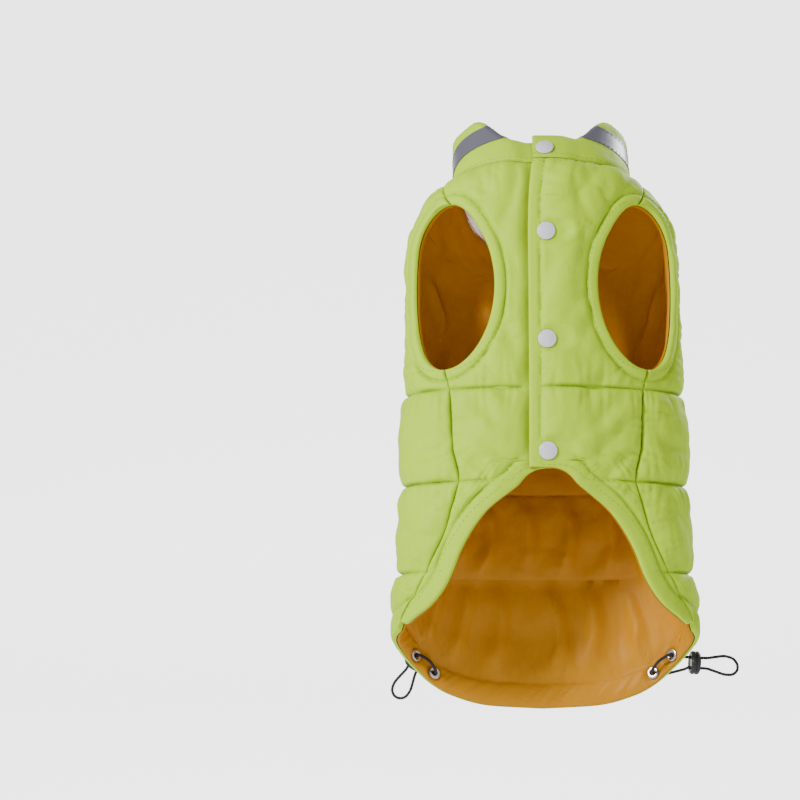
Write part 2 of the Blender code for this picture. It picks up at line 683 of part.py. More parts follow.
def loop_route(side):
    """Out of the lower eyelet, through the lock, round the loop, and back to the upper one."""
    middle, axis, across = lock_frame(side)
    down = np.array([0.0, 0.0, 1.0])
    ends = []
    for eyelet in EYELETS:
        point, outward = eyelet_place(SIDES[side], eyelet)
        wall_middle = shell_lift_at(eyelet.turn, eyelet.height) / 2
        ends.append((point + outward * (wall_middle + GAP / 2), outward))
    route = []
    for sign, (start, outward) in zip((1, -1), ends):
        hole = middle + across * sign * LOCK_HOLE_APART
        out = start + outward * 6.0
        near = hole - axis * (LOCK_THICK / 2 + 1.2)
        aside = out - middle
        aside = aside - (aside @ axis) * axis
        behind = (middle - axis * (LOCK_THICK / 2 + 4.2)
                  + unit(aside) * min(float(np.linalg.norm(aside)), 8.5))
        route.append([start, start + outward * 3.5, out, behind, near,
                      hole - axis * (LOCK_THICK / 2), hole, hole + axis * (LOCK_THICK / 2),
                      hole + axis * (LOCK_THICK / 2 + 1.2)])
    loop = [middle + axis * (along + LOCK_THICK / 2) + across * (spread * LOCK_HOLE_APART)
            + down * drop for along, spread, drop in LOOP]
    return route[0] + loop + route[1][::-1]


def bridge_route(side):
    """The same cord on the inside of the hem, from one eyelet to the other."""
    (upper, out_a), (lower, out_b) = (eyelet_place(SIDES[side], e) for e in EYELETS)
    lifts = [shell_lift_at(e.turn, e.height) / 2 - GAP / 2 for e in EYELETS]
    middle, outward = (upper + lower) / 2, unit(out_a + out_b)
    along = unit(lower - upper)
    return [upper + out_a * lifts[0], upper + out_a * (lifts[0] - 2.5), upper - out_a * 2.2,
            upper + along * 1.5 - out_a * 4.6, upper + along * 5 - out_a * 6.4,
            middle - outward * 7.2, lower - along * 5 - out_b * 6.4,
            lower - along * 1.5 - out_b * 4.6, lower - out_b * 2.2,
            lower + out_b * (lifts[1] - 2.5), lower + out_b * lifts[1]]


def cord(name, route, count, finish):
    data = bpy.data.curves.new(name, "CURVE")
    data.dimensions = "3D"
    line = data.splines.new("POLY")
    points = spline(route, count)
    line.points.add(len(points) - 1)
    for target, point in zip(line.points, points):
        target.co = (*(point * MM), 1)
    data.bevel_depth = CORD_RADIUS * MM
    data.bevel_resolution = 2
    data.use_fill_caps = True
    data.materials.append(finish)
    obj = bpy.data.objects.new(name, data)
    bpy.context.scene.collection.objects.link(obj)
    return obj


# ---------------------------------------------------------------- the jacket

def main():
    for obj in list(bpy.data.objects):
        bpy.data.objects.remove(obj)
    lime = material("lime_shell_cloth", (0.62, 0.80, 0.09), 0.75)
    amber = material("amber_lining_cloth", (0.72, 0.36, 0.02), 0.8)
    grey = material("reflective_strip", (0.17, 0.17, 0.20), 0.45)
    black = material("black_plastic", (0.015, 0.015, 0.018), 0.4)
    cord_black = material("black_cord", (0.02, 0.02, 0.022), 0.8)
    label_black = material("black_label", (0.02, 0.02, 0.022), 0.85)
    white = material("white_snap", (0.82, 0.81, 0.88), 0.3)
    metal = material("eyelet_metal", (0.6, 0.58, 0.56), 0.3, 1.0)

    turns, heights = back_grid()
    back = shell("back_panel", turns, heights, None, True, lime)
    back_inner = lining("back_lining", turns, heights, None, amber)
    for side, sign in SIDES.items():
        turns, heights = front_grid(sign)
        over = sign > 0
        shell(f"front_{side}_panel", turns, heights, over, False, lime)
        lining(f"front_{side}_lining", turns, heights, over, amber)

    collar_shell(lime)
    collar_lining(amber)
    collar_strip("collar_strip_outer", False, grey)
    collar_strip("collar_strip_inner", True, grey)

    for number, height in enumerate(SNAP_HEIGHTS, 2):
        off = SHELL_EDGE + OVERLAP_SHIFT + GAP
        point = on_form(np.array(0.0), np.array(height), np.array(off))
        snap(f"snap_cap_{number}", point, form_outward(np.array(0.0), np.array(height)), white)
    level = seam_level(np.array(0.0)) + COLLAR_SNAP_RISE
    point = collar_form(0.0, level, COLLAR_EDGE + GAP)
    snap("snap_cap_1", point, collar_form(0.0, level, COLLAR_EDGE + 1) - point, white)
    label(label_black)

    cutter = eyelet_cutter()
    pierce(back, cutter)
    pierce(back_inner, cutter)
    for side in SIDES:
        for eyelet in EYELETS:
            eyelet_solid(side, eyelet, metal)
        lock_solid(side, black)
        cord(f"cord_loop_{side}", loop_route(side), 38, cord_black)
        cord(f"cord_bridge_{side}", bridge_route(side), 15, cord_black)


main()
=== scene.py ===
"""Dresses the padded dog jacket: quilted shell, lining, collar, trims, cords, camera and light."""

from collections import namedtuple

import bmesh
import bpy
import numpy as np
from mathutils import Matrix, Vector


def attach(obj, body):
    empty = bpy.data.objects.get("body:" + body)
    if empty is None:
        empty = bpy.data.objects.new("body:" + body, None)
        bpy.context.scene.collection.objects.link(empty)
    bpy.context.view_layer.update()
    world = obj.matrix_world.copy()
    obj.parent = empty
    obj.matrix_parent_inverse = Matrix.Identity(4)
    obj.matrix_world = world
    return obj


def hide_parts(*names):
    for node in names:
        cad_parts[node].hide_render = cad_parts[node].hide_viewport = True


bl_info = {
    "name": "Padded Dog Jacket",
    "version": (1, 0, 0),
    "blender": (4, 5, 0),
    "location": "View3D > Sidebar > Jacket",
    "description": "Builds the looks of a padded dog jacket round its frame",
    "category": "Object",
}

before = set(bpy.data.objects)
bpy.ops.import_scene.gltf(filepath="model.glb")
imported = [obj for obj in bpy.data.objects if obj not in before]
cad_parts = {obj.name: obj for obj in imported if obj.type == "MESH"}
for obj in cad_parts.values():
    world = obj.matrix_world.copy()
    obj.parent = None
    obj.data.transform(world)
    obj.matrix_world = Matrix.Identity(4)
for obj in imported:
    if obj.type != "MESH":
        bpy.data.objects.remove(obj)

MM = 0.001
GAP = 0.3

# ---------------------------------------------------------------- the jacket's own sizes, mm

LINE_1, LINE_2, LINE_3 = -106.0, -170.0, -231.0
ARCH_TOP, CORNER, CASING, SHOULDER_RISE = -161.5, -270.0, 17.0, 50.0
NECK_HALF_WIDTH, NECK_FRONT, NECK_BACK = 57.0, 36.0, 40.0
COLLAR_LEAN = np.radians(35.0)
STRIP_LOW, STRIP_HIGH = 48.0, 66.0
ARMHOLE_TURN, ARMHOLE_HEIGHT = 48.8, -34.0
ARMHOLE_HALF_TURN, ARMHOLE_HALF_HEIGHT = 25.9, 58.0
SHOULDER_SEAM_TURN = 80.0
LINING, SHELL_INSIDE, SHELL_EDGE = 1.4, 2.2, 4.0
COLLAR_LINING, COLLAR_INSIDE, COLLAR_EDGE = 1.2, 2.1, 4.3
OVER_EDGE_TURN, UNDER_EDGE_TURN = -7.7, 6.5
OVERLAP_SHIFT, OVERLAP_START, OVERLAP_FULL, PLACKET_FLAT_TURN = 2.4, 24.0, 10.5, 10.0
FOLD_PIVOT, FOLD_RADIUS, OVER_FOLD_DEEPER = -1.4, 4.2, 2.4
SNAP_RADIUS, SNAP_HEIGHTS, COLLAR_SNAP_RISE = 6.3, (2.0, -73.5, -150.5), 9.0
LABEL_WIDTH, LABEL_HEIGHT, LABEL_SIDE, LABEL_MIDDLE = 51.0, 21.0, -5.6, -267.5
CORD_RADIUS = 1.05
CORD_POINTS = {"loop": 200, "bridge": 60}  # laid along each cord
LOCK_RADIUS, LOCK_THICK, LOCK_HOLE_APART = 8.0, 6.6, 3.6

# how finely the cloth is laid out
ROW_STEPS, ARMHOLE_STEPS, SHOULDER_STEPS, CORNER_ROWS = 9, 78, 22, 6
BACK_COLUMNS, FRONT_COLUMNS = 190, 56
SEAM, SEAM_TURN = 0.3, 0.1  # left open at a seam, up the form and round it

# how the padding swells and the cloth lies
TURN_MM, COLLAR_TURN_MM = 1.35, 0.87  # cloth in a degree of turn, for laying out what is uneven
YOKE_CROWN, CHANNEL_CROWN = 4.0, 5.4  # how proud the back's padding stands, above LINE_1 and below
FRONT_YOKE_CROWN, FRONT_CHANNEL_CROWN = 3.6, 4.2
CASING_CROWN, BINDING_CROWN, HEM_CROWN = 2.4, 1.5, 1.4
BACK_RUMPLE, FRONT_RUMPLE = 1.6, 1.5
DRAWN_IN = 0.34  # how far a turned edge goes from the shell's face to its inside
STRIP_THICK, STRIP_GAP, OUTER_STRIP, INNER_STRIP = 0.45, 0.05, (1.6, 356.5), (13.5, 358.5)
LABEL_GAP, LABEL_THICK = 0.25, 0.5
LOWER_EASE = 0.45  # the share of its ease that the lower front's lining has
NECK_STITCH = 3.0  # from the neck seam down to its row of stitches

Section = namedtuple("Section", "height half_width front_depth back_depth")
TRUNK = (
    Section(-325, 93.0, 40.0, 39.0), Section(-305, 98.0, 42.0, 42.0),
    Section(-283, 101.0, 44.0, 46.0), Section(-266, 100.8, 45.0, 48.0),
    Section(-241, 97.0, 46.0, 49.0), Section(-207, 93.5, 46.0, 49.0),
    Section(-156, 92.4, 46.0, 48.0), Section(-106, 90.7, 46.0, 47.0),
    Section(-90, 90.3, 46.0, 46.0), Section(-50, 90.0, 45.5, 44.0), Section(3, 90.0, 43.0, 40.0),
)
EdgePoint = namedtuple("EdgePoint", "turn height")
LOWER_EDGE = (
    EdgePoint(0, ARCH_TOP), EdgePoint(5, ARCH_TOP - 1.5), EdgePoint(13, -174), EdgePoint(27, -192),
    EdgePoint(37.6, -216), EdgePoint(42.8, -236), EdgePoint(51, -253), EdgePoint(63, -263),
    EdgePoint(75, CORNER), EdgePoint(92, -276), EdgePoint(104, -282), EdgePoint(112, -288),
    EdgePoint(120.5, -296), EdgePoint(128, -304), EdgePoint(138, -311.5), EdgePoint(157, -319),
    EdgePoint(180, -321),
)
SIDE_SEAM = (
    EdgePoint(75, CORNER), EdgePoint(68, -256), EdgePoint(59, -235), EdgePoint(53, -221),
    EdgePoint(47, -204), EdgePoint(41.5, -180), EdgePoint(39.5, -167), EdgePoint(43, -146),
    EdgePoint(45, -112), EdgePoint(48.8, -92),
)
NECK_SEAM = (
    EdgePoint(-20, 52.6), EdgePoint(0, 53), EdgePoint(30, 51.6), EdgePoint(60, 47.8),
    EdgePoint(80, 43.2), EdgePoint(95, 37), EdgePoint(110, 28.2), EdgePoint(130, 14.5),
    EdgePoint(150, 5), EdgePoint(165, 1.2), EdgePoint(180, 0),
)
BandPoint = namedtuple("BandPoint", "turn fold edge")
COLLAR_BAND = (
    BandPoint(0, 40.5, 82), BandPoint(20, 41.5, 82), BandPoint(28, 48, 81), BandPoint(36, 58.5, 80),
    BandPoint(44, 69, 78.5), BandPoint(52, 75, 77.5), BandPoint(60, 77.5, 77.5),
    BandPoint(72, 79, 79), BandPoint(88, 82.5, 82.5), BandPoint(105, 81.5, 81.5),
    BandPoint(128, 76, 76), BandPoint(150, 75.5, 75.5), BandPoint(180, 79, 79),
)
PanelRow = namedtuple("PanelRow", "seam arch")
PANEL_ROWS = (
    PanelRow(CORNER, CORNER), PanelRow(-262, -264), PanelRow(-252, -256), PanelRow(-241.5, -246),
    PanelRow(LINE_3, -234), PanelRow(-221, -220), PanelRow(-208, -204), PanelRow(-195, -190),
    PanelRow(-182, -177), PanelRow(LINE_2, -168.5), PanelRow(-160, -163.8),
    PanelRow(-146, ARCH_TOP), PanelRow(-132, -147), PanelRow(-119, -130), PanelRow(LINE_1, LINE_1),
    PanelRow(-98.5, -98.5), PanelRow(-92, -92),  # the last row is the armhole's lowest point
)


def through(points):
    """A smooth curve through a table's points that never overshoots, from its first column."""
    x = np.array([p[0] for p in points], float)
    y = np.array([p[1] for p in points], float)
    if x[0] > x[-1]:
        x, y = x[::-1], y[::-1]
    step, rise = np.diff(x), np.diff(y) / np.diff(x)
    slope = np.concatenate([[rise[0]], np.zeros(len(x) - 2), [rise[-1]]])
    same = rise[:-1] * rise[1:] > 0
    near, far = 2 * step[1:] + step[:-1], step[1:] + 2 * step[:-1]
    slope[1:-1][same] = ((near + far)[same]
                         / (near[same] / rise[:-1][same] + far[same] / rise[1:][same]))

    def at(value):
        value = np.clip(value, x[0], x[-1])
        k = np.clip(np.searchsorted(x, value) - 1, 0, len(step) - 1)
        t = (value - x[k]) / step[k]
        return ((1 + 2 * t) * (1 - t) ** 2 * y[k] + t * (1 - t) ** 2 * step[k] * slope[k]
                + t * t * (3 - 2 * t) * y[k + 1] + t * t * (t - 1) * step[k] * slope[k + 1])

    return at


half_width = through([(s.height, s.half_width) for s in TRUNK])
front_depth = through([(s.height, s.front_depth) for s in TRUNK])
back_depth = through([(s.height, s.back_depth) for s in TRUNK])
edge_height = through(LOWER_EDGE)
edge_turn = through([(p.height, p.turn) for p in LOWER_EDGE if p.turn <= 75])
seam_turn = through([(p.height, p.turn) for p in SIDE_SEAM])
neck_seam = through(NECK_SEAM)
fold_level = through([(p.turn, p.fold) for p in COLLAR_BAND])
band_edge = through([(p.turn, p.edge) for p in COLLAR_BAND])


def ramp(value, start, end):
    t = np.clip((value - start) / (end - start), 0, 1)
    return t * t * (3 - 2 * t)


def folded_turn(turn):
    return np.degrees(np.arccos(np.clip(np.cos(np.radians(turn)), -1, 1)))


def unit(v):
    return v / np.maximum(np.linalg.norm(v, axis=-1, keepdims=True), 1e-9)


# ---------------------------------------------------------------- the form, as in the frame

def neck_height(turn):
    return neck_seam(folded_turn(turn))


def neck_ring(turn):
    s, c = np.sin(np.radians(turn)), np.cos(np.radians(turn))
    deep = np.where(c > 0, NECK_FRONT, NECK_BACK)
    return np.stack([NECK_HALF_WIDTH * s, -deep * c, neck_height(turn)], -1)


def shoulder_share(rise):
    power, reach = 1.9, 0.96
    left = (1 - (reach * rise) ** power) ** (1 / power)
    least = (1 - reach**power) ** (1 / power)
    return (left - least) / (1 - least)


def form(turn, height):
    turn, height = np.broadcast_arrays(np.asarray(turn, float), np.asarray(height, float))
    s, c = np.sin(np.radians(turn)), np.cos(np.radians(turn))
    start = neck_height(turn) - SHOULDER_RISE
    low = np.minimum(height, start)
    deep = np.where(c > 0, front_depth(low), back_depth(low))
    trunk = np.stack([half_width(low) * s, -deep * c], -1)
    neck = neck_ring(turn)[..., :2]
    share = shoulder_share(np.clip((height - start) / SHOULDER_RISE, 0, 1))[..., None]
    return np.concatenate([neck + (trunk - neck) * share, height[..., None]], -1)


COLLAR_AXIS = np.array([0.0, np.sin(COLLAR_LEAN), np.cos(COLLAR_LEAN)])


def collar_outward(turn):
    s, c = np.sin(np.radians(turn)), np.cos(np.radians(turn))
    deep = np.where(c > 0, NECK_FRONT, NECK_BACK)
    out = np.stack([s / NECK_HALF_WIDTH, -c / deep, 0 * s], -1)
    return unit(out - (out @ COLLAR_AXIS)[..., None] * COLLAR_AXIS)


def form_outward(turn, height):
    turn, height = np.broadcast_arrays(np.asarray(turn, float), np.asarray(height, float))
    top = neck_height(turn)
    low, high = np.minimum(height - 0.5, top - 1.0), np.minimum(height + 0.5, top)
    level = np.minimum(height, top - 1)
    along = form(turn + 0.5, level) - form(turn - 0.5, level)
    out = unit(np.cross(along, form(turn, high) - form(turn, low)))
    seam = unit(out + collar_outward(turn))
    near = ramp(height, top - 12.0, top - GAP)[..., None]
    return unit(out * (1 - near) + seam * near)


def on_form(turn, height, off):
    return form(turn, height) + form_outward(turn, height) * np.asarray(off)[..., None]


def overlap_share(turn, over):
    return ramp(turn if over else -turn, OVERLAP_START, OVERLAP_FULL)


def overlap_shift(turn, over):
    if over is None:
        return np.zeros_like(turn)
    return overlap_share(turn, over) * (OVERLAP_SHIFT if over else -OVERLAP_SHIFT)


def seam_level(turn):
    return neck_ring(turn) @ COLLAR_AXIS


def collar_shift(turn):
    lower = turn > 180
    share = np.where(lower, overlap_share(360 - turn, True), overlap_share(turn, True))
    return share * np.where(lower, -OVERLAP_SHIFT, OVERLAP_SHIFT), share


def collar_form(turn, level, off):
    """The collar's band, which past its fold line rolls inwards and hangs inside the neck."""
    turn, level, off = np.broadcast_arrays(*(np.asarray(v, float) for v in (turn, level, off)))
    shift, share = collar_shift(turn)
    up = np.maximum(level - seam_level(turn), 0)
    fold = fold_level(folded_turn(turn)) - seam_level(turn)
    past = np.maximum(up - fold, 0)
    angle = np.minimum(past / FOLD_RADIUS, np.pi)
    hang = np.maximum(past - np.pi * FOLD_RADIUS, 0)
    pivot = FOLD_PIVOT - (OVERLAP_SHIFT + np.where(shift > 0, OVER_FOLD_DEEPER, 0)) * share
    reach = off + shift - pivot
    side = pivot + reach * np.cos(angle)
    rise = np.minimum(up, fold) + reach * np.sin(angle) - hang
    low = np.minimum(rise, 0) * 0.92
    top = neck_height(turn)
    near = ramp(rise, 12.0, 0.0)[..., None]
    below = form_outward(turn, top + low - GAP)
    outward = unit(collar_outward(turn) * (1 - near) + below * near)
    base = form(turn, top + low)
    return base + COLLAR_AXIS * np.maximum(rise, 0)[..., None] + outward * side[..., None]


# ---------------------------------------------------------------- unevenness, all of it seeded

def waves(seed, lengths):
    """A smooth uneven line: a sum of waves of these lengths, with seeded phases."""
    source = np.random.default_rng(seed)
    parts = [(2 * np.pi / (length * source.uniform(0.85, 1.15)), source.uniform(0, 2 * np.pi),
              source.uniform(0.6, 1.0)) for length in lengths]
    total = sum(p[2] for p in parts)
    return lambda x: sum(a * np.cos(k * x + p) for k, p, a in parts) / total


def pillow(distance, reach):
    t = np.clip(distance / reach, 0, 1)
    return np.sqrt(np.clip(1 - (1 - t) ** 2, 0, 1))


def gathers(run, away, seed, pitch, reach):
    """Puckers beside a stitched line: 0 in a crease and 1 on a crest, 1 everywhere far away."""
    drift = waves(seed, (pitch * 2.3, pitch * 4.1, pitch * 7.7))
    bend = waves(seed + 1, (pitch * 3.1, pitch * 6.3))
    depth = waves(seed + 2, (pitch * 2.9, pitch * 5.3, pitch * 9.1))
    phase = (run + pitch * 0.8 * drift(run) + 0.35 * away * bend(run)) / pitch
    crest = (np.sin(np.pi * phase) ** 2 + 0.02) ** 0.25 / 1.005
    strength = np.clip(0.8 + 0.5 * depth(run), 0.2, 1) * np.exp(-away / reach)
    return 1 - strength * (1 - crest)


def held_down(lift, gap, reach, run, seed, pitch, fade):
    """The same lift, brought down to nothing at a stitched line, with its puckers beside it."""
    return lift * pillow(gap, reach) * gathers(run, gap, seed, pitch, fade)


def rumple(across, up, seed, length=26.0):
    """Broad uneven swelling of the padding, from about -1 to 1, with soft creases in it."""
    source = np.random.default_rng(seed)
    total = np.zeros(np.broadcast(across, up).shape)
    for _ in range(7):
        a, size = source.uniform(0, np.pi), length * source.uniform(0.7, 1.9)
        phase = (across * np.cos(a) + up * np.sin(a)) / size + source.uniform(0, 1)
        bend = 0.25 * np.sin(2 * np.pi * (up * np.cos(a) - across * np.sin(a)) / (3 * size))
        total += (np.sin(np.pi * (phase + bend)) ** 2 + 0.03) ** 0.25 - 0.78
    return total / 1.6


def groove(distance, depth=1.3, width=1.3):
    """The dent that a row of stitches pulls into the padding."""
    return -depth * np.exp(-((distance / width) ** 2))


Fold = namedtuple("Fold", "turn height to_turn to_height width lift")


def folds(turns, heights, table):
    """Soft troughs and ridges laid as listed, in millimetres of lift."""
    x = turns * TURN_MM
    lift = np.zeros_like(x)
    for fold in table:
        a = np.array([fold.turn * TURN_MM, fold.height])
        b = np.array([fold.to_turn * TURN_MM, fold.to_height])
        run = b - a
        length = np.linalg.norm(run)
        t = ((x - a[0]) * run[0] + (heights - a[1]) * run[1]) / length**2
        aside = ((x - a[0]) * run[1] - (heights - a[1]) * run[0]) / length
        bow = 0.08 * length * np.sin(np.pi * np.clip(t, 0, 1))
        ends = ramp(t, -0.12, 0.25) * ramp(t, 1.12, 0.7)
        lift += fold.lift * ends * np.exp(-((aside - bow) / fold.width) ** 2)
    return lift


BACK_FOLDS = (
    Fold(150, -8, 162, -66, 6, -1.5), Fold(205, -14, 196, -70, 7, -1.3),
    Fold(118, -30, 128, -92, 6, -1.2), Fold(236, -28, 229, -88, 7, -1.5),
    Fold(172, -60, 178, -98, 6, 1.0), Fold(140, -40, 149, -96, 7, 1.1),
    Fold(216, -44, 212, -99, 6, 1.0), Fold(104, -6, 121, -22, 5, -1.4),
    Fold(256, -4, 240, -24, 5, -1.3), Fold(160, -246, 166, -292, 6, -1.2),
    Fold(206, -240, 199, -286, 6, -1.3), Fold(126, -238, 134, -280, 6, -1.4),
    Fold(232, -238, 226, -284, 7, -1.2), Fold(184, -114, 190, -158, 6, -0.9),
    Fold(150, -116, 146, -160, 6, -1.0), Fold(216, -178, 222, -224, 6, -1.0),
    Fold(166, -178, 160, -222, 6, -0.8), Fold(120, -112, 117, -162, 6, -1.4),
    Fold(240, -114, 244, -164, 6, -1.3), Fold(112, -176, 116, -226, 6, -1.3),
    Fold(246, -176, 242, -224, 6, -1.5), Fold(96, -150, 100, -218, 6, -1.2),
    Fold(263, -146, 259, -216, 6, -1.2),
)
FRONT_FOLDS = (
    Fold(15, 44, 20, 8, 4, -1.0), Fold(20, -6, 12, -44, 5, -0.9), Fold(22, -58, 13, -90, 5, -1.0),
    Fold(30, -96, 14, -118, 5, -1.3), Fold(36, -110, 20, -138, 5, -1.2),
    Fold(39, -128, 18, -160, 5, -1.3), Fold(38, -150, 22, -176, 4, -1.5),
    Fold(40, -176, 26, -184, 4, -1.2), Fold(46, -206, 34, -196, 4, -1.2),
    Fold(56, -232, 42, -224, 4, -1.2), Fold(26, 30, 34, 36, 4, -1.2), Fold(14, -140, 30, -130, 6, 1.0),
    Fold(15, -60, 21, -28, 6, 0.9), Fold(68, -256, 54, -250, 4, -1.0),
)


# ---------------------------------------------------------------- panels

ARMHOLE_START = ROW_STEPS * (len(PANEL_ROWS) - 1)  # the row at the armhole's lowest point


def finer(values, times):
    """The same numbers with this many steps between each, so that none is lost."""
    values = np.asarray(values, float)
    out = [values[0]]
    for a, b in zip(values, values[1:]):
        out += list(a + (b - a) * np.arange(1, times + 1) / times)
    return np.array(out)


def armhole(angle, sign):
    """A point of the armhole's edge: sign -1 on the front panel's side, +1 on the back's."""
    a = np.radians(angle)
    return (ARMHOLE_TURN + sign * ARMHOLE_HALF_TURN * np.cos(a),
            ARMHOLE_HEIGHT + ARMHOLE_HALF_HEIGHT * np.sin(a))


def side_boundary(sign):
    """Side seam, armhole edge and shoulder seam, from the hem's corner to the neck."""
    heights = finer([row.seam for row in PANEL_ROWS], ROW_STEPS)
    points = [(float(seam_turn(h)), h) for h in heights[:-1]]
    points += [armhole(a, sign) for a in np.linspace(-90, 90, ARMHOLE_STEPS + 1)]
    turn, height = armhole(90, sign)
    for share in np.linspace(0, 1, SHOULDER_STEPS + 1)[1:]:
        at = turn + (SHOULDER_SEAM_TURN - turn) * share
        points.append((at, height + (float(neck_height(at)) - SEAM / 2 - height) * share))
    return np.array(points)


def back_levels(turn):
    """Heights of hem, casing stitch, quilting lines and neck seam at this turn."""
    edge = edge_height(folded_turn(turn))
    flat = np.ones_like(edge)
    return np.stack([edge, edge + CASING, LINE_3 * flat, LINE_2 * flat, LINE_1 * flat,
                     neck_height(turn) - SEAM / 2], -1)


def mixed(levels, share):
    k = np.clip(np.floor(share).astype(int), 0, levels.shape[-1] - 2)
    low = np.take_along_axis(levels, k[..., None], -1)[..., 0]
    high = np.take_along_axis(levels, k[..., None] + 1, -1)[..., 0]
    return low + (high - low) * (share - k)


def back_grid():
    side = side_boundary(+1)
    turns = side[:, 0] + SEAM_TURN
    share = np.array([np.interp(h, back_levels(np.array(t)), range(6)) for t, h in side])
    t = np.linspace(-1, 1, BACK_COLUMNS + 1)
    across = 180 + (180 - turns)[:, None] * (t * (1.22 - 0.22 * t * t))[None, :]
    return across, mixed(back_levels(across), np.broadcast_to(share[:, None], across.shape))


def front_grid(sign):
    """The front on the +X side is the upper one; turns are negative on the other side."""
    side = side_boundary(-1)
    edge = OVER_EDGE_TURN if sign > 0 else -UNDER_EDGE_TURN
    arch = finer([row.arch for row in PANEL_ROWS], ROW_STEPS)[:-1]
    low = np.concatenate([arch, side[len(arch):, 1]])
    inner = np.where(low > ARCH_TOP - 0.1, edge, edge_turn(low))
    share = np.linspace(0, 1, FRONT_COLUMNS + 1)
    turns = inner[:, None] + (side[:, 0] - SEAM_TURN - inner)[:, None] * share[None, :]
    top = neck_height(side[:, 0]) - SEAM / 2
    mix = np.maximum(side[:, 1] - LINE_1, 0) / (top - LINE_1)
    flat = low[:, None] + (side[:, 1] - low)[:, None] * share[None, :]
    heights = np.where(mix[:, None] > 0, LINE_1 + (neck_height(turns) - SEAM / 2 - LINE_1)
                       * mix[:, None], flat)
    return turns[CORNER_ROWS:] * sign, heights[CORNER_ROWS:]


def line_run(line):
    """How far along a line each of its points lies."""
    return np.concatenate([[0], np.cumsum(np.linalg.norm(np.diff(line, axis=0), axis=1))])


def grid_run(points, axis):
    """Arc length along the grid's rows or columns."""
    step = np.linalg.norm(np.diff(points, axis=axis), axis=-1)
    pad = [(0, 0), (0, 0)]
    pad[axis] = (1, 0)
    return np.pad(np.cumsum(step, axis=axis), pad)


def flat_size(at):
    """Width, length and area of a piece laid flat, from its plain grid of points, in metres."""
    at = at * MM
    across, up = np.diff(at, axis=1)[:-1], np.diff(at, axis=0)[:, :-1]
    area = np.linalg.norm(np.cross(across, up), axis=-1).sum()
    return grid_run(at, 1)[:, -1].max(), grid_run(at, 0)[-1].max(), area


def distance_to(points, line):
    """Distance to a line of points, and how far along the line the nearest one lies."""
    line = np.asarray(line)
    run = line_run(line)
    flat = points.reshape(-1, 3)
    best, place = np.full(len(flat), 1e9), np.zeros(len(flat))
    for point, along in zip(line, run):
        gap = np.linalg.norm(flat - point, axis=1)
        nearer = gap < best
        best[nearer], place[nearer] = gap[nearer], along
    return best.reshape(points.shape[:2]), place.reshape(points.shape[:2])


FACING, ARCH_FACING = 8.0, 12.5  # widths of the bands sewn flat: armholes and placket, arch


def side_gaps(at, column, first):
    """Distances to the armhole's edge and to the sewn rest of that side, each with its run."""
    last = first + ARMHOLE_STEPS
    sewn = np.concatenate([at[:first + 1, column], at[last:, column]])
    return (*distance_to(at, at[first:last + 1, column]), *distance_to(at, sewn))


def back_lift(turns, heights):
    """How far the back's padding lifts the cloth, with the gathers beside every stitch."""
    at = form(turns, heights)
    run = grid_run(at, 1) - grid_run(at, 1)[:, [at.shape[1] // 2]]
    most = np.where(heights > LINE_1, YOKE_CROWN, CHANNEL_CROWN)
    lift, rim = most.copy(), np.zeros_like(most)
    side = np.full_like(most, 1e9)
    for column, seed in ((0, 11), (-1, 17)):
        hole, hole_run, seam, seam_run = side_gaps(at, column, ARMHOLE_START)
        away = np.maximum(hole - FACING, 0)
        lift = held_down(lift, away, 18, hole_run, seed, 9.5, 11)
        lift = held_down(lift, seam, 18, seam_run, seed + 3, 9.5, 11)
        rim += BINDING_CROWN * pillow(FACING - hole, 4) * pillow(hole, 3) * pillow(seam, 3)
        rim += groove(hole - FACING, 1.0)
        side = np.minimum(side, np.minimum(away, seam))
    top, place = distance_to(at, at[-1])
    lift = held_down(lift, top, 18, place, 23, 9, 7)
    for line, seed in ((LINE_1, 31), (LINE_2, 41), (LINE_3, 51)):
        away = np.abs(heights - line)
        lift = lift * pillow(away, 19) * np.where(
            heights > line, gathers(run, away, seed, 10, 11),
            gathers(run, away, seed + 5, 9.5, 12))
        lift += groove(away, 1.2)
    lift += rim
    above = heights - edge_height(folded_turn(turns)) - CASING
    panel = lift * pillow(above, 18) * gathers(run, np.maximum(above, 0), 61, 8, 8)
    crimp = gathers(run, np.maximum(-above, 0) * 0.5, 67, 7.5, 16)
    casing = CASING_CROWN * pillow(-above, 7) * pillow(above + CASING, 6) * crimp
    lift = np.where(above > 0, panel, casing) + groove(above, 1.0)
    lift += BACK_RUMPLE * rumple(run, heights, 71) * pillow(lift, 3.0) * ramp(above, 0, 8)
    soft = pillow(side, 24) * pillow(top, 20)
    return lift + 1.4 * folds(turns, heights, BACK_FOLDS) * soft * ramp(above, 0, 10)


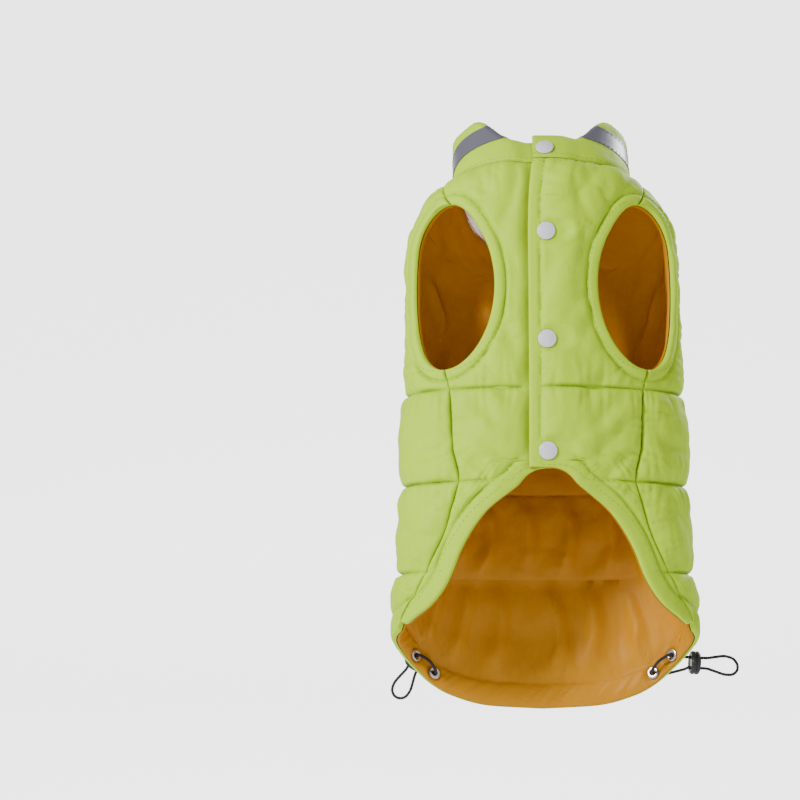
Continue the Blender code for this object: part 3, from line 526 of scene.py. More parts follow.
def front_lift(turns, heights, sign):
    """The fronts' padding, flat along placket, armhole and arch, with every stitch's gathers."""
    at = form(turns, heights)
    inner, inner_run = distance_to(at, at[:, 0])
    hole, hole_run, seam, seam_run = side_gaps(at, -1, ARMHOLE_START - CORNER_ROWS)
    top, top_run = distance_to(at, at[-1])
    seed = 100 + 40 * sign
    below = heights < ARCH_TOP + 0.5
    arch, arch_run = distance_to(at, at[heights[:, 0] < ARCH_TOP + 0.5, 0])
    past = np.minimum(np.maximum(inner - FACING, 0), np.maximum(arch - ARCH_FACING, 0))
    most = np.where(heights > LINE_1, FRONT_YOKE_CROWN, FRONT_CHANNEL_CROWN)
    lift = held_down(most, past, 15, inner_run, seed, 8.5, 9)
    away = np.maximum(hole - FACING, 0)
    lift = held_down(lift, away, 15, hole_run, seed + 1, 9, 9)
    lift = held_down(lift, seam, 15, seam_run, seed + 7, 9, 9)
    lift = held_down(lift, top, 15, top_run, seed + 2, 8.5, 9)
    run = grid_run(at, 1)
    for line, k in ((LINE_1, 3), (LINE_2, 4), (LINE_3, 5)):
        gap = np.abs(heights - line)
        lift = held_down(lift, gap, 16, run, seed + k, 8.5, 10)
        lift += groove(gap, 1.2) * ramp(past, 0, 3)
    lift += FRONT_RUMPLE * rumple(run, heights, seed + 8) * pillow(lift, 3.0)
    shaped = folds(np.abs(turns), heights, FRONT_FOLDS)
    lift += 1.5 * shaped * pillow(np.minimum(away, seam), 10) * pillow(top, 12) * ramp(past, 0, 8)
    swell = 0.5 * waves(seed + 6, (9, 14, 23))(inner_run) + 0.5
    placket = 0.5 * swell * pillow(FACING - inner, 4) * pillow(inner, 3)
    hem = HEM_CROWN * pillow(ARCH_FACING - arch, 5) * pillow(arch, 4) * gathers(
        arch_run, np.maximum(ARCH_FACING - arch, 0), seed + 9, 9, 6)
    rim = (BINDING_CROWN * pillow(FACING - hole, 4) * pillow(hole, 3) * pillow(seam, 3)
           * (0.8 + 0.4 * swell))
    lift += np.where(arch < ARCH_FACING, hem, np.where(below, 0, placket)) + rim
    lift += groove(arch - ARCH_FACING, 1.0)
    lift += groove(hole - FACING, 1.0)
    lift += np.where(below | (arch < ARCH_FACING), 0, groove(inner - FACING, 1.0))
    if sign < 0:
        return lift * ramp(-turns, 7, 13)  # under the other front
    near = [np.hypot(turns * 0.8, heights - snap_height) for snap_height in SNAP_HEIGHTS]
    return lift * ramp(np.min(near, axis=0), SNAP_RADIUS, SNAP_RADIUS + 5)


# ---------------------------------------------------------------- meshes

DRESSED = "dressed_"  # goes before the name of the node that a piece stands for


def linked(name, mesh):
    obj = bpy.data.objects.new(DRESSED + name, mesh)
    bpy.context.scene.collection.objects.link(obj)
    return obj


def solid(name, points, faces, finish, sharp=50):
    mesh = bpy.data.meshes.new(name)
    mesh.from_pydata([tuple(p) for p in np.asarray(points) * MM], [], faces)
    work = bmesh.new()
    work.from_mesh(mesh)
    bmesh.ops.recalc_face_normals(work, faces=work.faces)
    work.to_mesh(mesh)
    work.free()
    mesh.shade_smooth()
    mesh.set_sharp_from_angle(angle=np.radians(sharp))
    mesh.materials.append(finish)
    return linked(name, mesh)


def wall(name, outside, inside, finish, sharp=60):
    """A wall between two grids, with its edge rounded by a middle row of points."""
    rows, columns = outside.shape[:2]
    half = rows * columns
    ring = [(0, k) for k in range(columns)] + [(r, columns - 1) for r in range(1, rows)]
    ring += [(rows - 1, k) for k in range(columns - 2, -1, -1)]
    ring += [(r, 0) for r in range(rows - 2, 0, -1)]
    index = np.array([r * columns + k for r, k in ring])
    flat_out, flat_in = outside.reshape(-1, 3), inside.reshape(-1, 3)
    points = np.concatenate([flat_out, flat_in])
    faces = []
    for r in range(rows - 1):
        for k in range(columns - 1):
            a = r * columns + k
            faces.append((a, a + 1, a + 1 + columns, a + columns))
            faces.append((half + a + 1, half + a, half + a + columns, half + a + 1 + columns))
    for a, b in zip(index, np.roll(index, -1)):
        faces.append((b, a, half + a, half + b))
    return solid(name, points, faces, finish, sharp)


def tube(name, points, radius, finish, sides=2):
    data = bpy.data.curves.new(name, "CURVE")
    data.dimensions = "3D"
    line = data.splines.new("POLY")
    line.points.add(len(points) - 1)
    for target, point in zip(line.points, points):
        target.co = (*(np.asarray(point) * MM), 1)
    data.bevel_depth = radius * MM
    data.bevel_resolution = sides
    data.use_fill_caps = True
    data.materials.append(finish)
    return linked(name, data)


def turned(name, profile, segments, place, finish, ring=False, ribs=None):
    """A profile of (radius, height) turned about its axis; a ring's profile is a closed loop."""
    points, faces = [], []
    for radius, height in profile:
        for k in range(segments):
            a = 2 * np.pi * k / segments
            r = radius + (ribs(a, radius, height) if ribs else 0)
            points.append(place @ Vector((r * np.cos(a), r * np.sin(a), height)))
    count = len(profile)
    for r in range(count if ring else count - 1):
        for k in range(segments):
            a, b = r * segments + k, r * segments + (k + 1) % segments
            c = ((r + 1) % count) * segments
            faces.append((a, b, c + (k + 1) % segments, c + k))
    if not ring:
        faces.append(tuple(range(segments)))
        faces.append(tuple((count - 1) * segments + k for k in range(segments)))
    return solid(name, [np.array(p) for p in points], faces, finish, 40)


def frame_at(point, outward):
    turn = Vector(outward).to_track_quat("Z", "Y").to_matrix().to_4x4()
    return Matrix.Translation(Vector(point)) @ turn


def stitches(name, lines, finish, long=2.6, gap=1.3, thick=0.27):
    """Sewing: a short thread for each stitch, along lines of (point, outward) pairs."""
    points, faces = [], []
    for line, outward in lines:
        line, outward = np.asarray(line), np.asarray(outward)
        run = line_run(line)
        count = int(run[-1] / (long + gap))
        for k in range(count):
            ends = [k * (long + gap) + t * long for t in (0.02, 0.25, 0.75, 0.98)]
            place = np.stack([np.interp(ends, run, line[:, i]) for i in range(3)], -1)
            up = np.stack([np.interp(ends, run, outward[:, i]) for i in range(3)], -1)
            along = unit(place[-1] - place[0])
            across = unit(np.cross(up[0], along))
            base = len(points)
            for j, (wide, high) in enumerate(((0.5, -0.35), (1, 0.25), (1, 0.25), (0.5, -0.35))):
                for a in (0, 60, 120, 180, 240, 300):
                    a = np.radians(a)
                    points.append(place[j] + across * thick * wide * np.cos(a)
                                  + up[j] * thick * (high + 0.75 * wide * np.sin(a)))
            for j in range(3):
                for i in range(6):
                    a, b = base + j * 6 + i, base + j * 6 + (i + 1) % 6
                    faces.append((a, b, b + 6, a + 6))
            faces.append(tuple(base + i for i in range(6)))
            faces.append(tuple(base + 18 + 5 - i for i in range(6)))
    return solid(name, points, faces, finish, 80)


# ---------------------------------------------------------------- shell and lining

def shell_points(turns, heights, over, lift):
    shift = overlap_shift(turns, over)
    outside = on_form(turns, heights, SHELL_EDGE + shift + lift)
    inside = on_form(turns, heights, SHELL_INSIDE + shift)
    return outside, inside


def rolled(outside, inside):
    """The cloth's edge turned over: the outermost row of points is drawn in."""
    edge = outside.copy()
    for row in (np.s_[0], np.s_[-1], np.s_[:, 0], np.s_[:, -1]):
        edge[row] = outside[row] + (inside[row] - outside[row]) * DRAWN_IN
    return edge


def shell(name, turns, heights, over, lift, finish):
    outside, inside = shell_points(turns, heights, over, lift)
    piece = wall(name, rolled(outside, inside), inside, finish)
    return piece, outside


LINING_FOLDS = (
    Fold(168, -176, 172, -228, 4, 3.0), Fold(190, -172, 187, -226, 5, 2.4),
    Fold(205, -178, 208, -229, 4, 2.8), Fold(148, -174, 151, -226, 5, 2.6),
    Fold(222, -174, 219, -224, 5, 2.2), Fold(134, -190, 131, -236, 5, 2.4),
    Fold(160, -236, 163, -296, 5, 2.4), Fold(178, -234, 175, -300, 4, 3.0),
    Fold(199, -236, 203, -298, 5, 2.6), Fold(214, -238, 221, -288, 5, 2.2),
    Fold(143, -238, 139, -286, 5, 2.4), Fold(231, -236, 238, -276, 5, 2.4),
    Fold(120, -150, 134, -60, 6, 3.2), Fold(238, -142, 226, -66, 6, 3.0),
    Fold(152, -20, 160, -96, 6, 2.6), Fold(207, -28, 201, -98, 6, 2.8),
    Fold(112, -30, 128, -70, 5, 2.6), Fold(247, -20, 232, -62, 5, 2.8),
    Fold(96, -110, 120, -128, 6, 2.4), Fold(262, -96, 238, -120, 6, 2.4),
)


def lining_lift(turns, heights, over):
    """How far the lining stands in from its form: quilting lines, gathers and hanging folds."""
    run = grid_run(form(turns, heights), 1)
    ease = 2.4 + 2.0 * rumple(run, heights, 241, 32)
    for line, seed in ((LINE_1, 201), (LINE_2, 211), (LINE_3, 221)):
        away = np.abs(heights - line)
        ease = held_down(ease, away, 16, run, seed, 11, 16)
    ease += 1.8 * folds(turns, heights, LINING_FOLDS)
    above = heights - edge_height(folded_turn(turns)) - CASING
    if over is None:
        bunch = gathers(run, np.maximum(above, 0), 251, 9, 22)
        tunnel = CASING_CROWN * pillow(-above, 6) * pillow(above + CASING, 6) * gathers(
            run, np.maximum(-above, 0) * 0.4, 261, 10, 12)
        ease = np.where(above > 0, ease * pillow(above, 10) * bunch, tunnel)
    for eyelet in EYELETS:
        away = np.hypot((folded_turn(turns) - eyelet.turn) * 1.5, heights - eyelet.height)
        ease = ease * ramp(away, 4.8, 9.0)
    return np.maximum(ease, 0) * pillow(to_edge(turns, heights), 8)


def to_edge(turns, heights):
    at = form(turns, heights)
    gaps = [distance_to(at, line)[0] for line in (at[0], at[-1], at[:, 0], at[:, -1])]
    return np.min(gaps, axis=0)


def lining(name, turns, heights, over, finish):
    shift = overlap_shift(turns, over)
    ease = lining_lift(turns, heights, over)
    outside = on_form(turns, heights, LINING + shift)
    inside = on_form(turns, heights, shift - ease * (LOWER_EASE if over is False else 1.0))
    return wall(name, outside, inside, finish)


SLIT_TOP, SLIT_FOOT, LIP = -12.5, -41.0, 3.6  # the welted opening for a lead, on the back


def slit_lips(finish):
    """Two folded lips of cloth that meet over the opening, and the turned ends of the welt."""
    lift = BACK["lift"]
    near = ((np.abs(BACK["turns"] - 180) < 4.5) & (BACK["heights"] < SLIT_TOP + 3)
            & (BACK["heights"] > SLIT_FOOT - 3))
    seat = SHELL_EDGE + float(np.percentile(lift[near], 92))
    lips = []
    for side in (-1, 1):
        across = np.linspace(0.18, LIP, 13) * side
        up = np.linspace(SLIT_FOOT, SLIT_TOP, 40)
        x, height = np.meshgrid(across, up)
        turn = 180 - np.degrees(np.arcsin(x / half_width(height)))
        ends = np.minimum(height - SLIT_FOOT, SLIT_TOP - height)
        swell = (0.25 + 0.9 * pillow(LIP - np.abs(x), 1.8) * pillow(np.abs(x) - 0.1, 1.0)
                 * pillow(ends, 2.2))
        uneven = 0.12 * waves(81 + side, (7, 12, 19))(height)
        lips.append(wall(f"lead_slit_{'left' if side < 0 else 'right'}",
                         on_form(turn, height, seat + swell + uneven),
                         on_form(turn, height, np.full_like(turn, seat - 0.9)), finish))
    return lips


# ---------------------------------------------------------------- collar

COLLAR_STEPS = 250
COLLAR_ROWS = (14, 12, 22)  # from the seam to the strip, over it, and on to the free edge


def collar_turns():
    """Round the neck from the upper end, past the back, to the lower one."""
    return np.linspace(OVER_EDGE_TURN, 360 + UNDER_EDGE_TURN, COLLAR_STEPS + 1)


def collar_levels(turn):
    stops = (seam_level(turn) + 0.4, STRIP_LOW, STRIP_HIGH, band_edge(folded_turn(turn)))
    rows = [stops[0] + 0 * turn]
    for low, high, count in zip(stops, stops[1:], COLLAR_ROWS):
        rows += [low + (high - low) * k / count + 0 * turn for k in range(1, count + 1)]
    return np.stack(rows)


def collar_lift(turn, level):
    """Puckers at the collar's seam, a soft swell above it and uneven cloth over the roll."""
    wrapped = np.where(turn > 180, turn - 360, turn)
    flat = ramp(np.abs(wrapped), PLACKET_FLAT_TURN, PLACKET_FLAT_TURN + 12)
    up = level - seam_level(turn) - 0.6
    down = band_edge(folded_turn(turn)) - level
    run = turn * COLLAR_TURN_MM
    crimp = gathers(run, np.maximum(up, 0), 301, 7.5, 7)
    hem = gathers(run, np.maximum(down, 0), 311, 9, 5)
    soft = waves(321, (23, 37, 61))(run + 0.6 * level)
    lift = 1.7 * pillow(up, 9) * pillow(down, 7) * crimp * hem * flat
    tape = np.exp(-(((level - (STRIP_LOW + STRIP_HIGH) / 2) / 11) ** 4))
    return lift * (1 - 0.35 * tape) + 0.35 * soft * flat * pillow(down, 8) * (1 - tape)


def collar_pieces(shell_cloth, lining_cloth, tape):
    level = collar_levels(collar_turns())
    turn = np.broadcast_to(collar_turns(), level.shape)
    lift = collar_lift(turn, level)
    outside = collar_form(turn, level, COLLAR_EDGE + lift)
    inside = collar_form(turn, level, COLLAR_INSIDE)
    band = wall("collar", rolled(outside, inside), inside, shell_cloth)
    ease = 0.35 * waves(331, (19, 31, 53))(turn * COLLAR_TURN_MM + level) * pillow(
        level - seam_level(turn), 12)
    inner = wall("collar_lining", collar_form(turn, level, COLLAR_LINING),
                 collar_form(turn, level, ease), lining_cloth)
    strips = []
    rows = slice(COLLAR_ROWS[0], COLLAR_ROWS[0] + COLLAR_ROWS[1] + 1)
    for name, outer, (first, last) in (("collar_strip_outer", True, OUTER_STRIP),
                                       ("collar_strip_inner", False, INNER_STRIP)):
        keep = (collar_turns() > first) & (collar_turns() < last)
        t, v = turn[rows][:, keep], level[rows][:, keep]
        if outer:
            near = COLLAR_EDGE + lift[rows][:, keep] + STRIP_GAP
            far = near + STRIP_THICK
        else:
            far = ease[rows][:, keep] - STRIP_GAP
            near = far - STRIP_THICK
        piece = wall(name, collar_form(t, v, far), collar_form(t, v, near), tape)
        strips.append((piece, flat_size(collar_form(t, v, COLLAR_EDGE if outer else 0))))
    return band, inner, strips, (turn, level, outside)


# ---------------------------------------------------------------- sewing

def along_row(outside, turns, heights, level):
    """Points and outward directions where the grid's columns cross this height."""
    points, outward = [], []
    for column in range(outside.shape[1]):
        h = heights[:, column]
        if not (h.min() <= level <= h.max()):
            continue
        k = int(np.clip(np.searchsorted(h, level), 1, len(h) - 1))
        t = (level - h[k - 1]) / (h[k] - h[k - 1])
        points.append(outside[k - 1, column] * (1 - t) + outside[k, column] * t)
        outward.append(form_outward(turns[k, column], level))
    return np.array(points), np.array(outward)


def beside(outside, turns, heights, axis, side, away):
    """A line on the cloth this far in from the grid's edge on that side."""
    points, outward = [], []
    for line, t, h in zip(*(np.moveaxis(grid, 1 - axis, 0) for grid in (outside, turns, heights))):
        if side:
            line, t, h = line[::-1], t[::-1], h[::-1]
        run = line_run(line)
        k = int(np.clip(np.searchsorted(run, away), 1, len(run) - 1))
        share = (away - run[k - 1]) / max(run[k] - run[k - 1], 1e-6)
        points.append(line[k - 1] + (line[k] - line[k - 1]) * share)
        outward.append(form_outward(t[k], h[k]))
    return np.array(points), np.array(outward)


# ---------------------------------------------------------------- trims and cords

Eyelet = namedtuple("Eyelet", "name turn height")
EYELETS = (Eyelet("upper", 117.5, -285.0), Eyelet("lower", 129.5, -297.0))
EYELET_WALL = 5.4  # from the form out to the shell's face at an eyelet
Lock = namedtuple("Lock", "middle axis")
LOCKS = {
    "right": Lock((105.5, 25.0, -290.0), (1.0, 0.10, -0.05)),
    "left": Lock((-89.0, 47.0, -288.5), (-0.45, 0.50, -0.74)),
}
SIDES = {"left": -1, "right": 1}
LoopPoint = namedtuple("LoopPoint", "along spread drop")
LOOP = tuple(LoopPoint(*row) for row in (
    (6.0, 1.05, 0.0), (12.0, 1.45, -0.3), (18.0, 1.8, -0.8), (23.5, 1.55, -1.2),
    (26.5, 0.8, -1.5), (27.3, 0.0, -1.6), (26.5, -0.8, -1.6), (23.5, -1.5, -1.4),
    (18.0, -1.7, -0.9), (12.0, -1.4, -0.4), (6.0, -1.05, 0.0)))


def snap(name, point, outward, finish):
    """A pressed cap: a low dome with a rounded rim and a shallow ring in its face."""
    place = frame_at(np.array(point) + np.array(outward) * GAP, outward)
    shares = ((0.90, 0.0), (0.985, 0.12), (1.0, 0.42), (0.985, 0.78), (0.93, 1.08), (0.86, 1.20),
              (0.82, 1.16), (0.78, 1.17), (0.70, 1.42), (0.55, 1.68), (0.38, 1.84), (0.2, 1.92),
              (0.04, 1.94))
    return turned(name, [(a * SNAP_RADIUS, b) for a, b in shares], 48, place, finish)


def label_seat(turn, height):
    """The cloth's highest lift under the label, so that the label lies on it."""
    turns, heights, lift = BACK["turns"], BACK["heights"], BACK["lift"]
    under = ((np.abs(turns - turn.mean()) < np.ptp(turn) / 2)
             & (np.abs(heights - height.mean()) < np.ptp(height) / 2))
    return float(np.percentile(lift[under], 90))


def label(finish):
    across = np.linspace(-0.5, 0.5, 41) * LABEL_WIDTH + LABEL_SIDE
    down = np.linspace(-0.5, 0.5, 19) * LABEL_HEIGHT + LABEL_MIDDLE
    side, height = np.meshgrid(across, down)
    turn = 180 - np.degrees(np.arcsin(side / half_width(height)))
    lift = SHELL_EDGE + label_seat(turn, height) + LABEL_GAP
    face = on_form(turn, height, lift + LABEL_THICK)
    return wall("label", face, on_form(turn, height, lift), finish), face, turn, height


def eyelet_place(sign, eyelet):
    turn = eyelet.turn * sign
    return on_form(turn, eyelet.height, 0.0), form_outward(turn, eyelet.height)


def eyelet_solid(side, eyelet, finish):
    """A rolled metal ring on each face, joined by its barrel."""
    point, outward = eyelet_place(SIDES[side], eyelet)
    top, low = EYELET_WALL + 0.6, -0.9
    profile = [(1.5, (top + low) / 2), (1.5, low + 0.2), (1.75, low - 0.35)]
    profile += [(3.0 + 1.4 * np.sin(a), low - 0.35 - 0.42 * np.cos(a))
                for a in np.radians((-40, -10, 20, 50, 80, 95))]
    profile += [(3.9, low), (2.6, low), (2.6, top), (3.9, top)]
    profile += [(3.0 + 1.4 * np.sin(a), top + 0.35 + 0.42 * np.cos(a))
                for a in np.radians((95, 80, 50, 20, -10, -40))]
    profile += [(1.75, top + 0.35), (1.5, top - 0.2)]
    return turned(f"eyelet_{side}_{eyelet.name}", profile, 32, frame_at(point, outward), finish,
                  ring=True)


def lock_frame(side):
    """Middle, axis and the direction from one cord hole to the other."""
    lock = LOCKS[side]
    axis = unit(np.array(lock.axis))
    upper, _ = eyelet_place(SIDES[side], EYELETS[0])
    lower, _ = eyelet_place(SIDES[side], EYELETS[1])
    across = np.array([0.0, 0.0, 1.0]) if side == "right" else unit(upper - lower)
    across = unit(across - (across @ axis) * axis)
    return np.array(lock.middle), axis, across


def lock_solid(side, finish):
    """A ribbed body with a domed, ringed face and two cord holes cut through it."""
    middle, axis, across = lock_frame(side)
    place = frame_at(middle, axis)
    half = LOCK_THICK / 2
    profile = [(0.4, -half + 0.3), (5.2, -half + 0.3), (5.7, -half), (6.9, -half),
               (7.7, -half + 0.5), (LOCK_RADIUS, -half + 1.3), (LOCK_RADIUS, -0.55), (7.55, -0.3),
               (7.55, 0.3), (LOCK_RADIUS, 0.55), (LOCK_RADIUS, half - 1.3), (7.7, half - 0.5),
               (6.9, half), (5.9, half), (5.5, half - 0.35), (4.9, half - 0.35), (4.4, half),
               (2.4, half + 0.25), (0.4, half + 0.3)]

    def ribs(angle, radius, height):
        return 0.16 * np.cos(24 * angle) if radius > 7.6 and abs(height) > 0.5 else 0.0

    body = turned(f"cord_lock_{side}", profile, 120, place, finish, ribs=ribs)
    cutter = turned("hole", [(1.5, -9.0), (1.5, 9.0)], 20, Matrix(), finish)
    for sign in (1, -1):
        cutter.matrix_world = frame_at((middle + across * sign * LOCK_HOLE_APART) * MM, axis)
        cut = body.modifiers.new("hole", "BOOLEAN")
        cut.object, cut.solver = cutter, "EXACT"
        apply_all(body)
    bpy.data.objects.remove(cutter)
    return body


def apply_all(obj):
    """Turns an object's modifiers into plain mesh."""
    bpy.context.view_layer.update()
    mesh = bpy.data.meshes.new_from_object(
        obj.evaluated_get(bpy.context.evaluated_depsgraph_get()))
    obj.modifiers.clear()
    obj.data = mesh


def spline(points, count):
    """Points on a smooth curve through the route's own points, evenly spaced."""
    p = np.array(points, float)
    p = np.concatenate([[2 * p[0] - p[1]], p, [2 * p[-1] - p[-2]]])
    fine = []
    for a, b, c, d in zip(p, p[1:], p[2:], p[3:]):
        for t in np.linspace(0, 1, 24, endpoint=False):
            fine.append(0.5 * (2 * b + (c - a) * t + (2 * a - 5 * b + 4 * c - d) * t * t
                               + (3 * b - a - 3 * c + d) * t**3))
    fine = np.array(fine + [p[-2]])
    run = line_run(fine)
    at = np.linspace(0, run[-1], count)
    return np.stack([np.interp(at, run, fine[:, k]) for k in range(3)], -1)


def loop_route(side):
    """Out of the lower eyelet, through the lock, round the loop, and back to the upper one."""
    middle, axis, across = lock_frame(side)
    down = np.array([0.0, 0.0, 1.0])
    route = []
    for sign, eyelet in zip((1, -1), EYELETS):
        point, outward = eyelet_place(SIDES[side], eyelet)
        start = point + outward * (EYELET_WALL / 2 + GAP / 2)
        hole = middle + across * sign * LOCK_HOLE_APART
        out = start + outward * 6.0
        near = hole - axis * (LOCK_THICK / 2 + 1.2)
        aside = out - middle
        aside = aside - (aside @ axis) * axis
        behind = (middle - axis * (LOCK_THICK / 2 + 4.2)
                  + unit(aside) * min(float(np.linalg.norm(aside)), 8.5))
        route.append([start, start + outward * 3.5, out, behind, near,
                      hole - axis * (LOCK_THICK / 2), hole, hole + axis * (LOCK_THICK / 2),
                      hole + axis * (LOCK_THICK / 2 + 1.2)])
    loop = [middle + axis * (p.along + LOCK_THICK / 2) + across * (p.spread * LOCK_HOLE_APART)
            + down * p.drop for p in LOOP]
    return route[0] + loop + route[1][::-1]


def bridge_route(side):
    """The same cord on the inside of the hem, from one eyelet to the other."""
    (upper, out_a), (lower, out_b) = (eyelet_place(SIDES[side], e) for e in EYELETS)
    start = EYELET_WALL / 2 - GAP / 2
    middle, outward = (upper + lower) / 2, unit(out_a + out_b)
    along = unit(lower - upper)
    return [upper + out_a * start, upper + out_a * (start - 2.5), upper - out_a * 2.2,
            upper + along * 1.5 - out_a * 4.6, upper + along * 5 - out_a * 6.4,
            middle - outward * 7.2, lower - along * 5 - out_b * 6.4,
            lower - along * 1.5 - out_b * 4.6, lower - out_b * 2.2,
            lower + out_b * (start - 2.5), lower + out_b * start]


# ---------------------------------------------------------------- materials

def group(name, inputs, outputs):
    tree = bpy.data.node_groups.new(name, "ShaderNodeTree")
    for label_, kind, value in inputs:
        socket = tree.interface.new_socket(label_, in_out="INPUT", socket_type=kind)
        if value is not None:
            socket.default_value = value
    for label_, kind in outputs:
        tree.interface.new_socket(label_, in_out="OUTPUT", socket_type=kind)
    return tree, tree.nodes.new("NodeGroupInput"), tree.nodes.new("NodeGroupOutput")


def node(tree, kind, links=(), **values):
    made = tree.nodes.new(kind)
    for key, value in values.items():
        if key.startswith("in_"):
            made.inputs[int(key[3:])].default_value = value
        else:
            setattr(made, key, value)
    for index, source in links:
        tree.links.new(source, made.inputs[index])
    return made


def cloth_group():
    """Woven cloth: a fine plain weave and broad unevenness, as a normal, a mottle mask, and a mask of
    painted shade from ambient occlusion, low in creases and hollows.
    """
    tree, given, out = group(
        "woven_cloth",
        [("Threads", "NodeSocketFloat", 600.0), ("Relief", "NodeSocketFloat", 0.12),
         ("Rumple", "NodeSocketFloat", 0.3)],
        [("Normal", "NodeSocketVector"), ("Mottle", "NodeSocketFloat"),
         ("Open", "NodeSocketFloat")])
    place = node(tree, "ShaderNodeTexCoord").outputs["Object"]
    threads = []
    for direction in ("X", "Z"):
        threads.append(node(tree, "ShaderNodeTexWave", [(0, place), (1, given.outputs[0])],
                            bands_direction=direction, in_2=0.6, in_3=1.0).outputs[1])
    weave = node(tree, "ShaderNodeMath", enumerate(threads), operation="ADD")
    broad = node(tree, "ShaderNodeTexNoise", [(0, place)], in_2=95.0, in_3=3.0, in_4=0.55)
    fine = node(tree, "ShaderNodeBump", [(0, given.outputs[1]), (3, weave.outputs[0])],
                in_1=0.0002)
    full = node(tree, "ShaderNodeBump", [(0, given.outputs[2]), (3, broad.outputs[0])],
                in_1=0.0016)
    tree.links.new(fine.outputs[0], full.inputs["Normal"])
    mottle = node(tree, "ShaderNodeTexNoise", [(0, place)], in_2=22.0, in_3=2.0, in_4=0.5)
    tree.links.new(full.outputs[0], out.inputs[0])
    tree.links.new(mottle.outputs[0], out.inputs[1])
    # painted shade: ambient occlusion within 5 mm marks creases, seams and hollows, where the cloth's
    # colour is darkened
    painted_shade_ao = node(tree, "ShaderNodeAmbientOcclusion", samples=6)
    painted_shade_ao.inputs["Distance"].default_value = 0.005
    painted_shade_factor = node(tree, "ShaderNodeMath", [(0, painted_shade_ao.outputs["AO"])], operation="POWER", in_1=1.1)
    tree.links.new(painted_shade_factor.outputs[0], out.inputs[2])
    return tree


def shade(name, colour, rough, metal=0.0, **more):
    made = bpy.data.materials.new(name)
    made.use_nodes = True
    shader = made.node_tree.nodes["Principled BSDF"]
    shader.inputs["Base Color"].default_value = (*colour, 1)
    shader.inputs["Roughness"].default_value = rough
    shader.inputs["Metallic"].default_value = metal
    for key, value in more.items():
        shader.inputs[key.replace("_", " ")].default_value = value
    made.diffuse_color = (*colour, 1)
    return made


def cloth(name, weave, dark, light, rough, threads, relief, rumple, **more):
    made = shade(name, light, rough, **more)
    tree = made.node_tree
    shader = tree.nodes["Principled BSDF"]
    use = node(tree, "ShaderNodeGroup")
    use.node_tree = weave
    for key, value in zip(("Threads", "Relief", "Rumple"), (threads, relief, rumple)):
        use.inputs[key].default_value = value
    mix = node(tree, "ShaderNodeMix", [(0, use.outputs["Mottle"])], data_type="RGBA")
    mix.inputs[6].default_value = (*dark, 1)
    mix.inputs[7].default_value = (*light, 1)
    # painted shade: where the occlusion mask is low, in creases and hollows, the base colour goes
    # towards half the dull tone
    crease = node(tree, "ShaderNodeMix", [(0, use.outputs["Open"]), (7, mix.outputs[2])],
                  data_type="RGBA")
    crease.inputs[6].default_value = (*(0.5 * channel for channel in dark), 1)
    tree.links.new(crease.outputs[2], shader.inputs["Base Color"])
    tree.links.new(use.outputs["Normal"], shader.inputs["Normal"])
    return made


def materials():
    weave = cloth_group()
    own = bpy.context.scene.jacket
    lime, amber = tuple(own.shell_colour), tuple(own.lining_colour)
    dull = [tuple(share * channel for channel in colour)
            for share, colour in ((0.88, lime), (0.80, amber))]
    return {
        "shell": cloth("lime_shell_cloth", weave, dull[0], lime, 0.62,
                       620.0, 0.10, 0.35, Sheen_Weight=0.08, Sheen_Roughness=0.5,
                       Specular_IOR_Level=0.35),
        "lining": cloth("amber_lining_cloth", weave, dull[1], amber, 0.50, 700.0, 0.07, 0.3,
                        Specular_IOR_Level=0.25),
        "tape": cloth("reflective_strip", weave, (0.155, 0.15, 0.19), (0.20, 0.195, 0.24), 0.42,
                      700.0, 0.05, 0.10, Metallic=0.35),
        "label": cloth("black_label", weave, (0.013, 0.013, 0.014), (0.024, 0.024, 0.026), 0.85,
                       520.0, 0.3, 0.1),
        "cord": cloth("black_cord", weave, (0.012, 0.012, 0.014), (0.026, 0.026, 0.03), 0.75,
                      420.0, 0.6, 0.1),
        "lime_thread": shade("lime_thread", (0.40, 0.62, 0.006), 0.6),
        "amber_thread": shade("amber_thread", (0.55, 0.24, 0.01), 0.6),
        "grey_thread": shade("grey_thread", (0.16, 0.16, 0.19), 0.6),
        "label_thread": shade("label_thread", (0.03, 0.03, 0.032), 0.7),
        "snap": shade("white_snap", (0.80, 0.79, 0.87), 0.28, Coat_Weight=0.4),
        "metal": shade("eyelet_metal", (0.62, 0.60, 0.58), 0.26, 1.0),
        "plastic": shade("black_plastic", (0.016, 0.016, 0.019), 0.38),
    }


# ---------------------------------------------------------------- operators

LOOKS, BACK = {}, {}  # filled by the back's operator, which runs first


def added(obj):
    """Ties a visible piece to the frame."""
    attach(obj, "root")


def finished(obj):
    """Ties a piece to the frame in the place of the node that it is named for."""
    added(obj)
    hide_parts(obj.name.removeprefix(DRESSED))


def sheet(obj, size):
    """A flat piece, tied to the frame in the place of its node; its size, from its plain form before
    any ease or fold, is not used.
    """
    finished(obj)


class JacketSettings(bpy.types.PropertyGroup):
    """Sizes of the sewing and colours of the cloth"""

    stitch_length: bpy.props.FloatProperty(
        name="Stitch length", description="Length of one stitch", default=0.0026,
        unit="LENGTH", subtype="DISTANCE")
    stitch_gap: bpy.props.FloatProperty(
        name="Stitch gap", description="Cloth left between two stitches", default=0.0012,
        unit="LENGTH", subtype="DISTANCE")
    shell_colour: bpy.props.FloatVectorProperty(
        name="Shell colour", description="Colour of the outer cloth", default=(0.55, 0.86, 0.002),
        size=3, min=0, max=1, subtype="COLOR")
    lining_colour: bpy.props.FloatVectorProperty(
        name="Lining colour", description="Colour of the lining", default=(0.64, 0.27, 0.0004),
        size=3, min=0, max=1, subtype="COLOR")
    thread: bpy.props.FloatProperty(
        name="Thread", description="Radius of the thread", default=0.00026,
        unit="LENGTH", subtype="DISTANCE")


